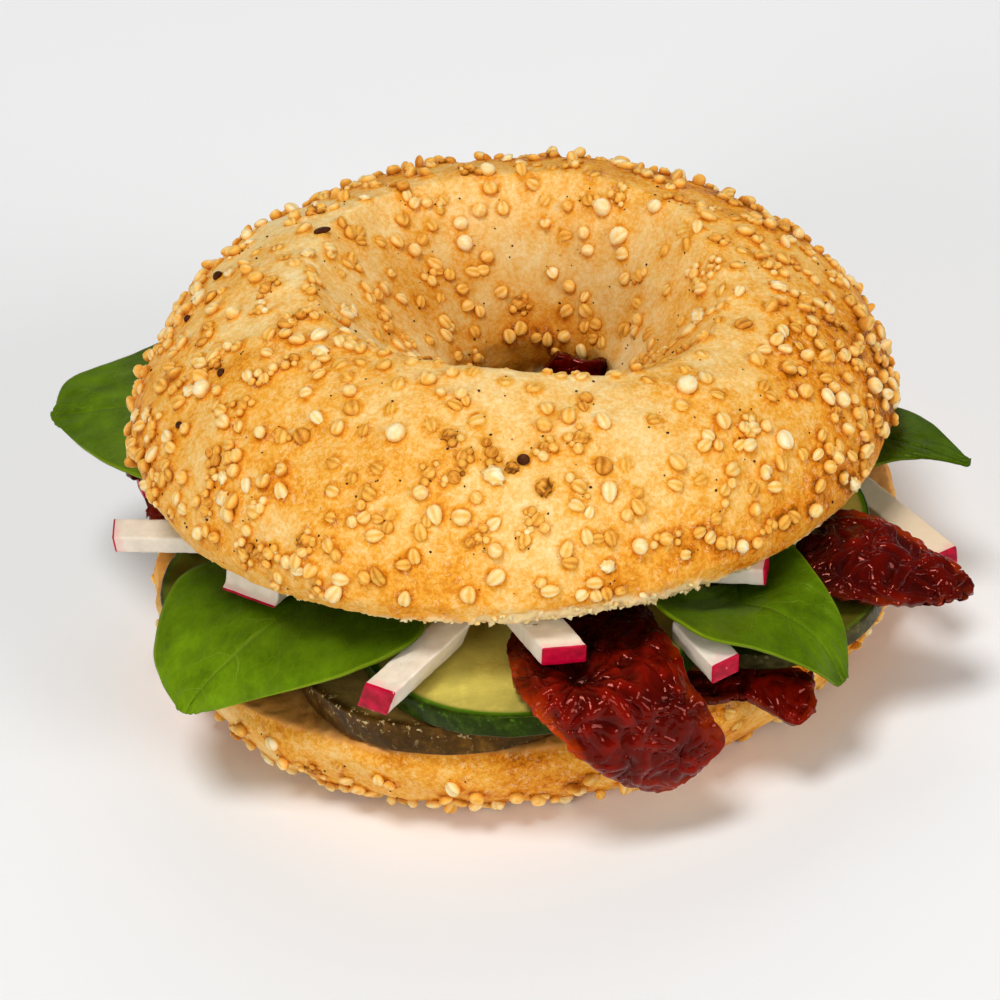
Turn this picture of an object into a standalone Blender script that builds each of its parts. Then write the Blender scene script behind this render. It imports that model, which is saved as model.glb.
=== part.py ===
"""Bagel sandwich: a seeded bagel cut in two and filled with slices, dried tomatoes, leaves and radish sticks.

Lengths are millimetres, measured from the bagel's own axis and the table top.
They become metres as each mesh is finished, and one empty moves the axis so that the box is centred.
"""
import math
import random

import bmesh
import bpy
from mathutils import Euler, Matrix, Vector, noise
from mathutils.bvhtree import BVHTree

MM = 0.001
GAP = 0.3                       # left between pieces that lie on each other

# Where the bagel's axis stands, from the middle of the whole sandwich's box
AXIS_X = 1.88
AXIS_Y = 0.4

# Bottom half of the bagel
BASE_RADIUS = 41.0
BOTTOM_RADIUS = 53.4
BOTTOM_WIDEST = 12.3            # height of the widest ring
BOTTOM_RIM_RADIUS = 52.6
CUT_HEIGHT = 14.5               # the cut face that carries the filling
BOTTOM_HOLE_RADIUS = 9.0

# Top half, before it is tilted on the filling
TOP_RADIUS = 53.0
TOP_EDGE_RADIUS = 50.0
TOP_WIDEST = 3.9
TOP_HEIGHT = 26.1
CREST_RADIUS = 27.5
NECK_RADIUS = 12.0              # narrowest place of the hole
NECK_HEIGHT = 7.2
HOLE_SHIFT = Vector((3.0, 0.5, 0.0))
OUTER_ROUNDNESS = 1.78          # 2 is an ellipse, less is flatter
FUNNEL_ROUNDNESS = 1.05

# How the top half lies on the filling
TOP_CENTRE = Vector((1.0, 0.85, 30.0))
TOP_TILT = Euler((math.radians(-2.84), math.radians(4.65), 0.0))

TURN_STEPS = 44

# Seeds that are fused to the crust
TOP_SEEDS = 102
BOTTOM_SEEDS = 46
SEED_SPACING = 4.6
SEED_SINK = 0.15                # share of its height that a seed lies below its middle

# Vegetable layers
SLICE_SIDES = 34
AUBERGINE_THICK = 4.8
CUCUMBER_THICK = 3.4
LEAF_THICK = 0.7
FIRST_LAYER = CUT_HEIGHT + GAP
SECOND_LAYER = FIRST_LAYER + AUBERGINE_THICK + GAP

CRUST = ("crust", (0.74, 0.45, 0.17), 0.6)
CUCUMBER = ("cucumber", (0.45, 0.52, 0.16), 0.35)
AUBERGINE = ("aubergine", (0.42, 0.33, 0.17), 0.45)
TOMATO = ("dried_tomato", (0.30, 0.02, 0.01), 0.25)
LEAF = ("leaf", (0.10, 0.25, 0.02), 0.4)
RADISH = ("radish", (0.85, 0.74, 0.68), 0.35)


def clear_scene():
    for thing in list(bpy.data.objects):
        bpy.data.objects.remove(thing)


def material(look):
    """One plain material for each kind of food, shared by the pieces made of it."""
    name, colour, roughness = look
    found = bpy.data.materials.get(name)
    if found:
        return found
    made = bpy.data.materials.new(name)
    made.use_nodes = True
    shader = made.node_tree.nodes["Principled BSDF"]
    shader.inputs["Base Color"].default_value = (*colour, 1.0)
    shader.inputs["Roughness"].default_value = roughness
    shader.inputs["Metallic"].default_value = 0.0
    return made


def sandwich_axis():
    axis = bpy.data.objects.new("bagel_axis", None)
    axis.location = (AXIS_X * MM, AXIS_Y * MM, 0.0)
    bpy.context.collection.objects.link(axis)
    return axis


def finish(bm, name, look, axis):
    """Turns a mesh in millimetres into a named object in metres under the axis."""
    bmesh.ops.recalc_face_normals(bm, faces=bm.faces)
    bmesh.ops.scale(bm, vec=(MM, MM, MM), verts=bm.verts)
    mesh = bpy.data.meshes.new(name)
    bm.to_mesh(mesh)
    bm.free()
    mesh.shade_smooth()
    mesh.set_sharp_from_angle(angle=math.radians(40))
    piece = bpy.data.objects.new(name, mesh)
    piece.data.materials.append(material(look))
    bpy.context.collection.objects.link(piece)
    piece.parent = axis
    return piece


def along(points, t):
    """A point on the smooth curve through the given points, at t from 0 to 1."""
    spans = len(points) - 1
    place = min(max(t, 0.0), 1.0) * spans
    first = min(int(place), spans - 1)
    u = place - first
    before = points[max(first - 1, 0)]
    start, end = points[first], points[first + 1]
    after = points[min(first + 2, spans)]
    return [0.5 * (2 * b + (c - a) * u + (2 * a - 5 * b + 4 * c - d) * u * u
                   + (3 * b - a - 3 * c + d) * u ** 3)
            for a, b, c, d in zip(before, start, end, after)]


# Bagel

def bottom_profile():
    """Section of the bottom half, as radius and height, from the hole outwards and back."""
    steps = 7
    bulge = [(BASE_RADIUS + (BOTTOM_RADIUS - BASE_RADIUS) * math.sin(k / steps * math.pi / 2),
              BOTTOM_WIDEST * (1 - math.cos(k / steps * math.pi / 2))) for k in range(steps + 1)]
    floor = [(BOTTOM_HOLE_RADIUS + 4.0, 0.0), (27.0, 0.0)]
    cut = [(BOTTOM_RIM_RADIUS, CUT_HEIGHT), (39.0, CUT_HEIGHT), (25.0, CUT_HEIGHT)]
    hole = [(BOTTOM_HOLE_RADIUS + 2.5, CUT_HEIGHT), (BOTTOM_HOLE_RADIUS, 8.0), (BOTTOM_HOLE_RADIUS + 1.0, 2.0)]
    return floor + bulge + cut + hole


def top_profile():
    """Section of the top half above its cut face: edge, crust, crest, funnel and hole."""
    edge = [(TOP_EDGE_RADIUS, 0.0), (TOP_EDGE_RADIUS + 2.2, TOP_WIDEST * 0.35)]
    steps = 8
    outer, funnel = [], []
    for k in range(steps + 1):
        t = k / steps * math.pi / 2
        outer.append((CREST_RADIUS + (TOP_RADIUS - CREST_RADIUS) * math.cos(t) ** (2 / OUTER_ROUNDNESS),
                      TOP_WIDEST + (TOP_HEIGHT - TOP_WIDEST) * math.sin(t) ** (2 / OUTER_ROUNDNESS)))
        funnel.append((CREST_RADIUS - (CREST_RADIUS - NECK_RADIUS) * math.sin(t) ** (2 / FUNNEL_ROUNDNESS),
                       NECK_HEIGHT + (TOP_HEIGHT - NECK_HEIGHT) * math.cos(t) ** (2 / FUNNEL_ROUNDNESS)))
    hole = [(NECK_RADIUS + 0.3, NECK_HEIGHT / 2), (NECK_RADIUS + 1.5, 0.0)]
    cut = [(26.0, 0.0), (40.0, 0.0)]
    return edge + outer + funnel[1:] + hole + cut


def turned(profile, segments):
    """A closed ring turned from a section, with the section's points joined in a loop."""
    bm = bmesh.new()
    points = [bm.verts.new((radius, 0.0, height)) for radius, height in profile]
    loop = [bm.edges.new((a, b)) for a, b in zip(points, points[1:] + points[:1])]
    bmesh.ops.spin(bm, geom=points + loop, cent=(0, 0, 0), axis=(0, 0, 1), angle=2 * math.pi,
                   steps=segments, use_merge=True)
    bmesh.ops.recalc_face_normals(bm, faces=bm.faces)
    rank = {face: k for k, face in enumerate(sorted(bm.faces, key=middle))}
    bm.faces.sort(key=rank.get)
    return bm


def middle(face):
    """Where a face is, so that every run works through the faces in the same order."""
    return tuple(round(value, 3) for value in face.calc_center_median())


def smoothstep(low, high, value):
    t = min(max((value - low) / (high - low), 0.0), 1.0)
    return t * t * (3 - 2 * t)


def dent(place, size, depth, offset):
    """Slow unevenness of hand-shaped dough."""
    return depth * noise.noise(place / size + Vector((offset, offset, offset)))


def uneven_bottom(co):
    turn = math.atan2(co.y, co.x)
    outward = smoothstep(25, 50, co.xy.length)
    share = outward * (0.3 * math.cos(2 * turn + 0.6) + dent(co, 14, 1.0, 3.0))
    radius = co.xy.length
    body = smoothstep(0.0, 6.0, co.z)
    grow = 1 + share * body / radius
    return Vector((co.x * grow, co.y * grow, co.z))


def uneven_top(co):
    """Bulges and dents of the top half, and the hole's shift, before the tilt."""
    turn = math.atan2(co.y, co.x)
    radius = co.xy.length
    outward = smoothstep(CREST_RADIUS, TOP_RADIUS, radius)
    body = smoothstep(0.0, 8.0, co.z)
    share = outward * (0.27 * math.cos(2 * turn) + 0.66 * math.sin(2 * turn)) + body * dent(co, 15, 1.2, 7.0)
    lift = 1 + (-0.62 * math.cos(turn) + 0.70 * math.sin(turn)) / TOP_HEIGHT
    lift += dent(co, 18, 0.03, 11.0)
    inward = 1 - smoothstep(NECK_RADIUS, CREST_RADIUS, radius)
    sag = math.exp(-((math.degrees(turn) + 45) / 38) ** 2) * (1 - inward) * (1 - smoothstep(CREST_RADIUS, 50, radius))
    share += 4.0 * sag
    lift -= 0.13 * sag
    grow = 1 + share / radius
    return Vector((co.x * grow, co.y * grow, co.z * lift)) + HOLE_SHIFT * inward


def seed_shapes():
    """Two seed meshes in millimetres: a flat drop and a round grain."""
    shapes = {}
    for name, size in (("flat_seed", (3.4, 2.3, 1.8)), ("round_grain", (2.5, 2.5, 2.3))):
        bm = bmesh.new()
        bmesh.ops.create_icosphere(bm, subdivisions=1, radius=0.5)
        bmesh.ops.scale(bm, vec=size, verts=bm.verts)
        if name == "flat_seed":
            for vert in bm.verts:
                vert.co.y *= 1.0 - 0.22 * vert.co.x
        mesh = bpy.data.meshes.new(name)
        bm.to_mesh(mesh)
        bm.free()
        shapes[name] = (mesh, size[2])
    return shapes


def seed_places(bm, count, allowed, rng):
    """Evenly spread places on the crust, with the crust's normal at each."""
    tree = BVHTree.FromBMesh(bm)
    faces = [f for f in bm.faces if allowed(f.calc_center_median(), f.normal)]
    weights = [f.calc_area() for f in faces]
    places = []
    for _ in range(count * 60):
        if len(places) == count:
            break
        face = rng.choices(faces, weights)[0]
        corners = sorted((v.co for v in face.verts), key=tuple)
        shares = [rng.random() for _ in corners]
        spot = sum((c * s for c, s in zip(corners, shares)), Vector()) / sum(shares)
        if all((spot - other).length > SEED_SPACING for other, _ in places):
            hit = tree.find_nearest(spot)
            places.append((hit[0], hit[1]))
    return places


def fuse_seeds(base, places, shapes, rng):
    """Joins the seeds to the crust with one union, and drops loose scraps."""
    together = bpy.data.collections.new("seeds")
    bpy.context.scene.collection.children.link(together)
    for spot, normal in places:
        mesh, height = shapes["round_grain" if rng.random() < 0.45 else "flat_seed"]
        seed = bpy.data.objects.new("seed", mesh)
        spin = Matrix.Rotation(rng.uniform(0, 2 * math.pi), 4, "Z")
        size = Matrix.Scale(rng.uniform(0.9, 1.25), 4)
        stand = normal.to_track_quat("Z", "Y").to_matrix().to_4x4()
        centre = spot + normal * height * SEED_SINK
        seed.matrix_world = Matrix.Scale(MM, 4) @ Matrix.Translation(centre) @ stand @ spin @ size
        together.objects.link(seed)
    union = base.modifiers.new("seeds", "BOOLEAN")
    union.operation = "UNION"
    union.operand_type = "COLLECTION"
    union.collection = together
    bpy.context.view_layer.update()
    fused = bpy.data.meshes.new_from_object(base.evaluated_get(bpy.context.evaluated_depsgraph_get()))
    base.modifiers.clear()
    base.data = fused
    for seed in list(together.objects):
        bpy.data.objects.remove(seed)
    bpy.data.collections.remove(together)
    keep_largest(fused)


def keep_largest(mesh):
    """Leaves only the largest connected body of a mesh."""
    bm = bmesh.new()
    bm.from_mesh(mesh)
    left, bodies = set(bm.verts), []
    while left:
        start = left.pop()
        body, edge_of_body = {start}, [start]
        while edge_of_body:
            for edge in edge_of_body.pop().link_edges:
                for vert in edge.verts:
                    if vert in left:
                        left.remove(vert)
                        body.add(vert)
                        edge_of_body.append(vert)
        bodies.append(body)
    bodies.sort(key=len)
    scraps = [vert for body in bodies[:-1] for vert in body]
    bmesh.ops.delete(bm, geom=scraps, context="VERTS")
    bm.to_mesh(mesh)
    bm.free()


def near_hanging_tomato(spot):
    return abs(math.atan2(spot.y, spot.x) - math.atan2(-54, 11)) < 0.42


def bagel_bottom(axis, shapes):
    bm = turned(bottom_profile(), TURN_STEPS)
    for vert in bm.verts:
        vert.co = uneven_bottom(vert.co)
    bm.normal_update()
    rng = random.Random(21)
    places = seed_places(bm, BOTTOM_SEEDS, lambda spot, normal: 3.0 < spot.z < 12.4 and spot.xy.length > 40
                         and not near_hanging_tomato(spot), rng)
    piece = finish(bm, "bagel_bottom", CRUST, None)
    fuse_seeds(piece, places, shapes, rng)
    piece.parent = axis


def bagel_top(axis, shapes):
    bm = turned(top_profile(), TURN_STEPS)
    for vert in bm.verts:
        vert.co = uneven_top(vert.co)
    bm.normal_update()
    rng = random.Random(8)
    places = seed_places(bm, TOP_SEEDS, lambda spot, normal: spot.z > 6.0 and spot.xy.length > 17.0, rng)
    tilt = TOP_TILT.to_matrix()
    bmesh.ops.transform(bm, matrix=Matrix.Translation(TOP_CENTRE) @ tilt.to_4x4(), verts=bm.verts)
    places = [(TOP_CENTRE + tilt @ spot, tilt @ normal) for spot, normal in places]
    piece = finish(bm, "bagel_top", CRUST, None)
    fuse_seeds(piece, places, shapes, rng)
    piece.parent = axis


# Slices

def vegetable_slice(name, look, axis, centre, radius, bottom, thick, keep=None):
    """A round slice lying flat; keep is a point and a direction that a straight cut leaves standing."""
    bm = bmesh.new()
    bmesh.ops.create_cone(bm, cap_ends=True, segments=SLICE_SIDES, radius1=radius, radius2=radius, depth=thick)
    for vert in bm.verts:
        turn = math.atan2(vert.co.y, vert.co.x)
        grow = 1 + 0.012 * math.sin(2 * turn + centre[0]) + 0.008 * math.sin(3 * turn)
        vert.co.x *= grow
        vert.co.y *= grow
    bmesh.ops.translate(bm, vec=(centre[0], centre[1], bottom + thick / 2), verts=bm.verts)
    if keep:
        place, direction = keep
        cut = bmesh.ops.bisect_plane(bm, geom=bm.verts[:] + bm.edges[:] + bm.faces[:], dist=1e-4,
                                     plane_co=(*place, 0), plane_no=(*direction, 0), clear_inner=True)
        rim = [e for e in cut["geom_cut"] if isinstance(e, bmesh.types.BMEdge)]
        bmesh.ops.edgeloop_fill(bm, edges=rim)
    finish(bm, name, look, axis)


def slices(axis):
    vegetable_slice("aubergine_front", AUBERGINE, axis, (-9.0, -27.0), 25.0, FIRST_LAYER, AUBERGINE_THICK)
    vegetable_slice("aubergine_back", AUBERGINE, axis, (-17.0, 27.0), 22.0, FIRST_LAYER, AUBERGINE_THICK)
    vegetable_slice("aubergine_right", AUBERGINE, axis, (26.0, 18.0), 20.0, FIRST_LAYER, AUBERGINE_THICK)
    vegetable_slice("courgette_left", CUCUMBER, axis, (-32.0, -10.5), 20.0, FIRST_LAYER, AUBERGINE_THICK,
                    keep=((-35.5, 0.0), (-1.0, 0.0)))
    vegetable_slice("courgette_right", CUCUMBER, axis, (31.6, -31.4), 15.4, 16.9, 2.7)
    vegetable_slice("cucumber_front", CUCUMBER, axis, (-0.6, -32.9), 24.0, SECOND_LAYER, CUCUMBER_THICK)
    vegetable_slice("cucumber_right", CUCUMBER, axis, (27.0, -20.5), 20.0, SECOND_LAYER, CUCUMBER_THICK,
                    keep=((24.8, 0.0), (1.0, 0.0)))
    vegetable_slice("cucumber_back", CUCUMBER, axis, (-8.0, 30.0), 22.0, SECOND_LAYER, CUCUMBER_THICK)
    vegetable_slice("cucumber_back_right", CUCUMBER, axis, (31.0, 21.0), 17.0, SECOND_LAYER, CUCUMBER_THICK)


# Radish sticks

def stick(name, axis, inner, outer, width, height, lean=0.0, slant=0.0):
    """A straight stick cut from a radish, from its hidden inner end to the end with the rind.

    Its sides lean by lean for each unit of height, and slant is how much further one end corner reaches.
    """
    inner, outer = Vector(inner), Vector(outer)
    run = outer - inner
    bm = bmesh.new()
    bmesh.ops.create_cube(bm, size=1.0)
    bmesh.ops.scale(bm, vec=(run.length, width, height), verts=bm.verts)
    for vert in bm.verts:
        if vert.co.x > 0:
            vert.co.x += slant * vert.co.y / width
        vert.co.y += lean * vert.co.z
    forward = run.normalized()
    side = Vector((0, 0, 1)).cross(forward).normalized()
    up = forward.cross(side)
    turn = Matrix((forward, side, up)).transposed().to_4x4()
    bmesh.ops.transform(bm, matrix=Matrix.Translation((inner + outer) / 2) @ turn, verts=bm.verts)
    finish(bm, name, RADISH, axis)


def sticks(axis):
    stick("radish_left", axis, (-28.2, -16.4, 28.2), (-56.6, -7.7, 28.2), 4.6, 2.6, slant=-1.2)
    stick("radish_left_back", axis, (-30.0, 12.0, 27.2), (-53.3, 5.4, 27.2), 3.4, 2.6)
    stick("radish_left_front", axis, (-29.1, -19.9, 31.0), (-37.3, -28.7, 31.0), 9.4, 2.2)
    stick("radish_front_left", axis, (-11.4, -39.2, 26.05), (-22.4, -52.0, 26.05), 4.9, 4.5, lean=0.5)
    stick("radish_front", axis, (-4.5, -40.5, 28.9), (2.9, -52.0, 28.8), 5.4, 3.0, lean=0.2, slant=2.2)
    stick("radish_front_right", axis, (18.95, -44.9, 25.35), (23.1, -53.3, 23.4), 4.2, 2.9)
    stick("radish_under_rim", axis, (14.0, -34.4, 28.8), (31.0, -39.0, 27.9), 4.4, 2.6)
    stick("radish_right", axis, (44.0, 0.5, 16.3), (56.2, -27.3, 16.3), 4.2, 2.8)
    stick("radish_back", axis, (-12.0, 36.0, 25.9), (-19.0, 56.0, 25.9), 4.6, 4.1)
    stick("radish_back_left", axis, (-20.0, 30.0, 25.9), (-39.0, 47.5, 25.9), 4.4, 4.1)


# Leaves and dried tomatoes

def bent_piece(name, look, axis, left, rib, right, thick, rows, columns, edge=1.0, ruffle=0.0):
    """A thin piece between three curves that run from its inner end to its tip.

    Its two faces are the same grid, moved apart by the thickness and joined round the edge.
    """
    bm = bmesh.new()
    bmesh.ops.create_grid(bm, x_segments=rows, y_segments=columns, size=1.0)
    shares = {}
    for vert in bm.verts:
        s, t = (vert.co.x + 1) / 2, vert.co.y
        l, m, r = along(left, s), along(rib, s), along(right, s)
        co = [a * t * (t - 1) / 2 + b * (1 - t * t) + c * t * (t + 1) / 2 for a, b, c in zip(l, m, r)]
        shares[vert.index] = 1 - (1 - edge) * max(abs(t), abs(2 * s - 1)) ** 3
        vert.co = co
        vert.co.z += ruffle * noise.noise(vert.co / 4.5) * (1 - abs(t) ** 4)
    bmesh.ops.triangulate(bm, faces=bm.faces[:])
    bm.normal_update()
    lower = bmesh.ops.duplicate(bm, geom=bm.verts[:] + bm.edges[:] + bm.faces[:])
    twins = {v: w for v, w in lower["vert_map"].items() if isinstance(v, bmesh.types.BMVert)}
    uppers = [v for v in bm.verts if v.index in shares]
    for vert in uppers:
        shift = vert.normal * thick / 2 * shares[vert.index]
        twins[vert].co = vert.co - shift
        vert.co = vert.co + shift
    bmesh.ops.reverse_faces(bm, faces=[f for f in lower["geom"] if isinstance(f, bmesh.types.BMFace)])
    bmesh.ops.bridge_loops(bm, edges=[e for e in bm.edges if e.is_boundary])
    bmesh.ops.remove_doubles(bm, verts=bm.verts[:], dist=0.01)
    bmesh.ops.triangulate(bm, faces=bm.faces[:])
    finish(bm, name, look, axis)


def leaves(axis):
    bent_piece("leaf_back_left", LEAF, axis,
               left=[(-34, 21, 31.2), (-45.6, 36.8, 31.2), (-55.4, 33.0, 32.0), (-63.1, 30.9, 31.1),
                     (-65.4, 25.3, 30.0)],
               rib=[(-34, 19, 31.2), (-47.0, 18.5, 31.9), (-57.5, 20.0, 32.0), (-66.0, 23.5, 30.0)],
               right=[(-34, 17, 31.2), (-46.5, -0.5, 31.9), (-57.0, 5.0, 32.0), (-65.0, 20.6, 30.1)],
               thick=LEAF_THICK, rows=9, columns=7)
    bent_piece("leaf_front_left", LEAF, axis,
               left=[(-22, -21, 28.8), (-38.0, -18.5, 28.9), (-47.6, -18.9, 27.0), (-51.9, -26.6, 22.5),
                     (-51.6, -32.4, 20.3), (-49.6, -37.3, 18.7)],
               rib=[(-21, -24, 28.8), (-31.0, -31.2, 28.6), (-37.6, -34.9, 26.8), (-45.2, -37.3, 22.0),
                    (-48.6, -38.3, 18.4)],
               right=[(-20, -27, 28.8), (-14.8, -43.4, 30.2), (-25.4, -47.8, 27.9), (-40.8, -41.1, 20.8),
                      (-46.9, -38.8, 18.6)],
               thick=LEAF_THICK, rows=10, columns=8)
    bent_piece("leaf_front_right", LEAF, axis,
               left=[(25.5, -37, 24.9), (20.6, -41.1, 27.8), (15.0, -44.8, 30.1), (20.3, -52.5, 28.9),
                     (27.7, -53.1, 25.4), (34.6, -52.3, 19.8), (37.4, -51.4, 16.3)],
               rib=[(27, -36, 24.8), (27.0, -42.0, 25.3), (30.8, -45.4, 25.5), (35.4, -47.7, 22.0),
                    (38.1, -50.7, 16.0)],
               right=[(28, -35, 24.9), (33.6, -32.0, 27.6), (37.6, -40.5, 25.9), (39.8, -44.6, 20.6),
                      (39.0, -49.6, 16.2)],
               thick=LEAF_THICK, rows=10, columns=8)
    bent_piece("leaf_back_right", LEAF, axis,
               left=[(34, 3, 25.4), (46.5, 3.5, 25.1), (56.7, -4.6, 25.5), (62.2, -15.6, 24.2)],
               rib=[(34, 0, 25.4), (48.0, -6.5, 25.0), (54.5, -11.5, 25.7), (62.3, -16.2, 24.0)],
               right=[(34, -3, 25.4), (43.0, -14.8, 25.3), (52.0, -14.6, 25.3), (57.1, -15.0, 24.8),
                      (61.8, -16.6, 24.0)],
               thick=LEAF_THICK, rows=8, columns=6)
    bent_piece("leaf_front_inner", LEAF, axis,
               left=[(-8, -30, 30.6), (-6.0, -41.0, 31.2), (0.0, -45.6, 31.2)],
               rib=[(0, -30, 30.5), (1.0, -40.0, 31.0), (3.0, -46.6, 30.9)],
               right=[(8, -30, 30.2), (9.0, -40.0, 30.5), (5.0, -45.8, 30.8)],
               thick=LEAF_THICK, rows=5, columns=4)
    bent_piece("leaf_back", LEAF, axis,
               left=[(-1, 26, 25.0), (-8.0, 40.0, 25.2), (-8.0, 52.0, 25.0), (-1.0, 59.6, 20.4)],
               rib=[(1, 26, 25.0), (1.0, 40.0, 24.8), (1.0, 53.5, 24.6), (0.5, 60.0, 20.2)],
               right=[(3, 26, 25.0), (9.0, 40.0, 25.0), (9.5, 51.0, 24.9), (2.0, 59.6, 20.4)],
               thick=LEAF_THICK, rows=8, columns=6)


def tomatoes(axis):
    bent_piece("tomato_front", TOMATO, axis,
               left=[(-3.4, -38.8, 25.1), (-5.0, -46.5, 25.0), (-3.8, -55.6, 25.6), (1.9, -60.4, 18.8),
                     (8.6, -56.9, 8.8)],
               rib=[(7.0, -37.0, 25.4), (7.2, -48.0, 25.4), (8.4, -57.8, 24.8), (10.6, -59.4, 15.8),
                    (11.8, -56.6, 7.0)],
               right=[(14.6, -40.0, 25.3), (16.6, -47.6, 25.1), (19.2, -56.0, 21.8), (21.4, -57.2, 13.9),
                      (15.4, -57.0, 8.2)],
               thick=2.1, rows=13, columns=8, edge=0.55, ruffle=0.7)
    bent_piece("tomato_right", TOMATO, axis,
               left=[(36.6, -28.0, 25.6), (41.9, -25.6, 25.7), (47.5, -28.5, 25.7), (53.0, -31.9, 22.3),
                     (57.4, -36.5, 20.5)],
               rib=[(35.6, -34.0, 25.4), (40.5, -34.6, 26.0), (46.1, -36.5, 24.9), (51.8, -38.0, 21.6),
                    (58.4, -38.9, 19.5)],
               right=[(35.6, -38.6, 24.2), (39.9, -41.8, 22.9), (45.7, -42.1, 20.9), (51.0, -42.0, 20.2),
                      (56.8, -40.2, 19.3)],
               thick=2.2, rows=11, columns=8, edge=0.55, ruffle=0.9)
    bent_piece("tomato_low_right", TOMATO, axis,
               left=[(13.4, -41.6, 15.85), (20.4, -43.4, 15.85), (26.9, -44.6, 15.85), (32.0, -45.3, 15.7),
                     (35.4, -46.2, 15.2)],
               rib=[(13.0, -43.6, 15.8), (20.5, -46.2, 15.8), (26.3, -47.7, 15.8), (31.4, -49.4, 14.6),
                    (35.0, -48.4, 14.2)],
               right=[(13.4, -46.4, 15.6), (20.3, -49.4, 15.6), (25.9, -50.6, 15.4), (31.4, -53.4, 12.2),
                      (34.4, -51.6, 13.2)],
               thick=1.5, rows=9, columns=4, edge=0.6, ruffle=0.3)
    bent_piece("tomato_left", TOMATO, axis,
               left=[(-36.0, 24.0, 22.4), (-44.0, 22.0, 22.4), (-51.0, 14.0, 22.6)],
               rib=[(-33.5, 9.0, 22.6), (-43.0, 8.0, 22.8), (-53.0, 7.0, 22.8)],
               right=[(-33.5, -6.0, 22.4), (-43.0, -6.5, 22.4), (-51.5, 0.0, 22.6)],
               thick=4.6, rows=7, columns=7, edge=0.5, ruffle=0.5)
    bent_piece("tomato_left_bit", TOMATO, axis,
               left=[(-42.0, 12.0, 29.6), (-49.0, 10.5, 29.8), (-54.8, 7.8, 29.7)],
               rib=[(-42.0, 9.0, 29.5), (-49.0, 7.5, 29.6), (-55.2, 6.2, 29.6)],
               right=[(-42.0, 6.0, 29.6), (-49.0, 4.6, 29.6), (-54.2, 4.6, 29.4)],
               thick=1.1, rows=5, columns=3, edge=0.6, ruffle=0.2)
    bent_piece("tomato_middle", TOMATO, axis,
               left=[(-4.0, -13.0, 25.3), (-5.0, -2.0, 25.2), (-2.0, 7.0, 26.6), (8.4, 8.6, 35.4)],
               rib=[(6.0, -14.0, 25.3), (6.0, -3.0, 25.2), (7.0, 6.0, 26.6), (11.6, 8.4, 33.4)],
               right=[(15.0, -13.0, 25.3), (16.0, -3.0, 25.2), (13.5, 4.0, 26.4), (14.4, 4.8, 35.4)],
               thick=2.0, rows=9, columns=7, edge=0.6, ruffle=0.5)
    bent_piece("tomato_back", TOMATO, axis,
               left=[(14.0, 37.0, 23.8), (14.0, 45.0, 23.8), (15.0, 52.0, 22.6), (19.0, 57.0, 17.4)],
               rib=[(20.0, 39.5, 23.4), (22.0, 46.0, 23.4), (24.0, 51.5, 21.8), (25.0, 55.5, 17.0)],
               right=[(27.0, 40.0, 23.2), (31.0, 43.5, 23.2), (33.5, 47.5, 21.8), (31.5, 52.5, 17.6)],
               thick=2.4, rows=9, columns=7, edge=0.55, ruffle=0.8)


def main():
    clear_scene()
    axis = sandwich_axis()
    shapes = seed_shapes()
    bagel_bottom(axis, shapes)
    bagel_top(axis, shapes)
    slices(axis)
    sticks(axis)
    leaves(axis)
    tomatoes(axis)


main()
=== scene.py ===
"""Bagel sandwich: a seeded bagel cut in two, with slices, dried tomatoes, leaves and radish sticks between.

Shapes are worked out in millimetres from the bagel's own axis and the table top.
seal() turns each finished mesh into metres and moves it to its place.
"""
import math
import random

import bmesh
import bpy
from bpy.props import FloatProperty, FloatVectorProperty, IntProperty, PointerProperty
from mathutils import Euler, Matrix, Vector, noise
from mathutils.bvhtree import BVHTree
from mathutils.kdtree import KDTree


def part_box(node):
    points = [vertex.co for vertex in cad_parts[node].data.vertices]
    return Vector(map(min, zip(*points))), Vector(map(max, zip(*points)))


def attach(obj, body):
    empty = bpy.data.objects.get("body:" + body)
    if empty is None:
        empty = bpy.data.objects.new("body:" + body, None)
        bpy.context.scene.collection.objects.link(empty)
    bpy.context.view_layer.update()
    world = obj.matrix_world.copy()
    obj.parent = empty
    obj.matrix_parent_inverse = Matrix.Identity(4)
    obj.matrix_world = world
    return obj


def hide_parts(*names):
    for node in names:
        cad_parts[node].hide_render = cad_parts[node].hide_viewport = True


bl_info = {
    "name": "Bagel Sandwich",
    "version": (1, 0, 0),
    "blender": (4, 5, 0),
    "location": "3D View > Sidebar > Bagel",
    "description": "Builds a seeded bagel sandwich round its packed solids",
    "category": "Add Mesh",
}

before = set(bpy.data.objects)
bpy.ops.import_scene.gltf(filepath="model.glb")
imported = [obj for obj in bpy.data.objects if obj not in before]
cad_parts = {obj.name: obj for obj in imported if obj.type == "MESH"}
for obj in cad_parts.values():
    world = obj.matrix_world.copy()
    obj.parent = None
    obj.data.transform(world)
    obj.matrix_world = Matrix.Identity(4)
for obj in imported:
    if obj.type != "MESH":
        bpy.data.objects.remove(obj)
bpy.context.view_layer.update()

MM = 0.001
AXIS = Vector((1.88, 0.4, 0.0))             # the bagel's axis, from the middle of the sandwich
TOP_CENTRE = Vector((1.0, 0.85, 30.0))      # middle of the top half's cut face
TOP_TILT = Euler((math.radians(-2.84), math.radians(4.65), 0.0))
HOLE_SHIFT = Vector((3.0, 0.5, 0.0))
UP = Vector((0.0, 0.0, 1.0))
LOOK_AT = Vector((-2.718, -4.136, 21.747))  # what the camera looks at, from the bagel's axis
TOP_SPACINGS = (0.5, 0.5, 0.85, 3.0)        # between points of the edge, outside, funnel and cut face
BOTTOM_SPACINGS = (2.0, 0.5, 0.9)           # between points of the underside, crust and cut face
TOP_STEPS, BOTTOM_STEPS, SLICE_STEPS = 720, 560, 150
LEAF_GRID, TOMATO_GRID = (90, 60), (170, 130)
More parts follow.
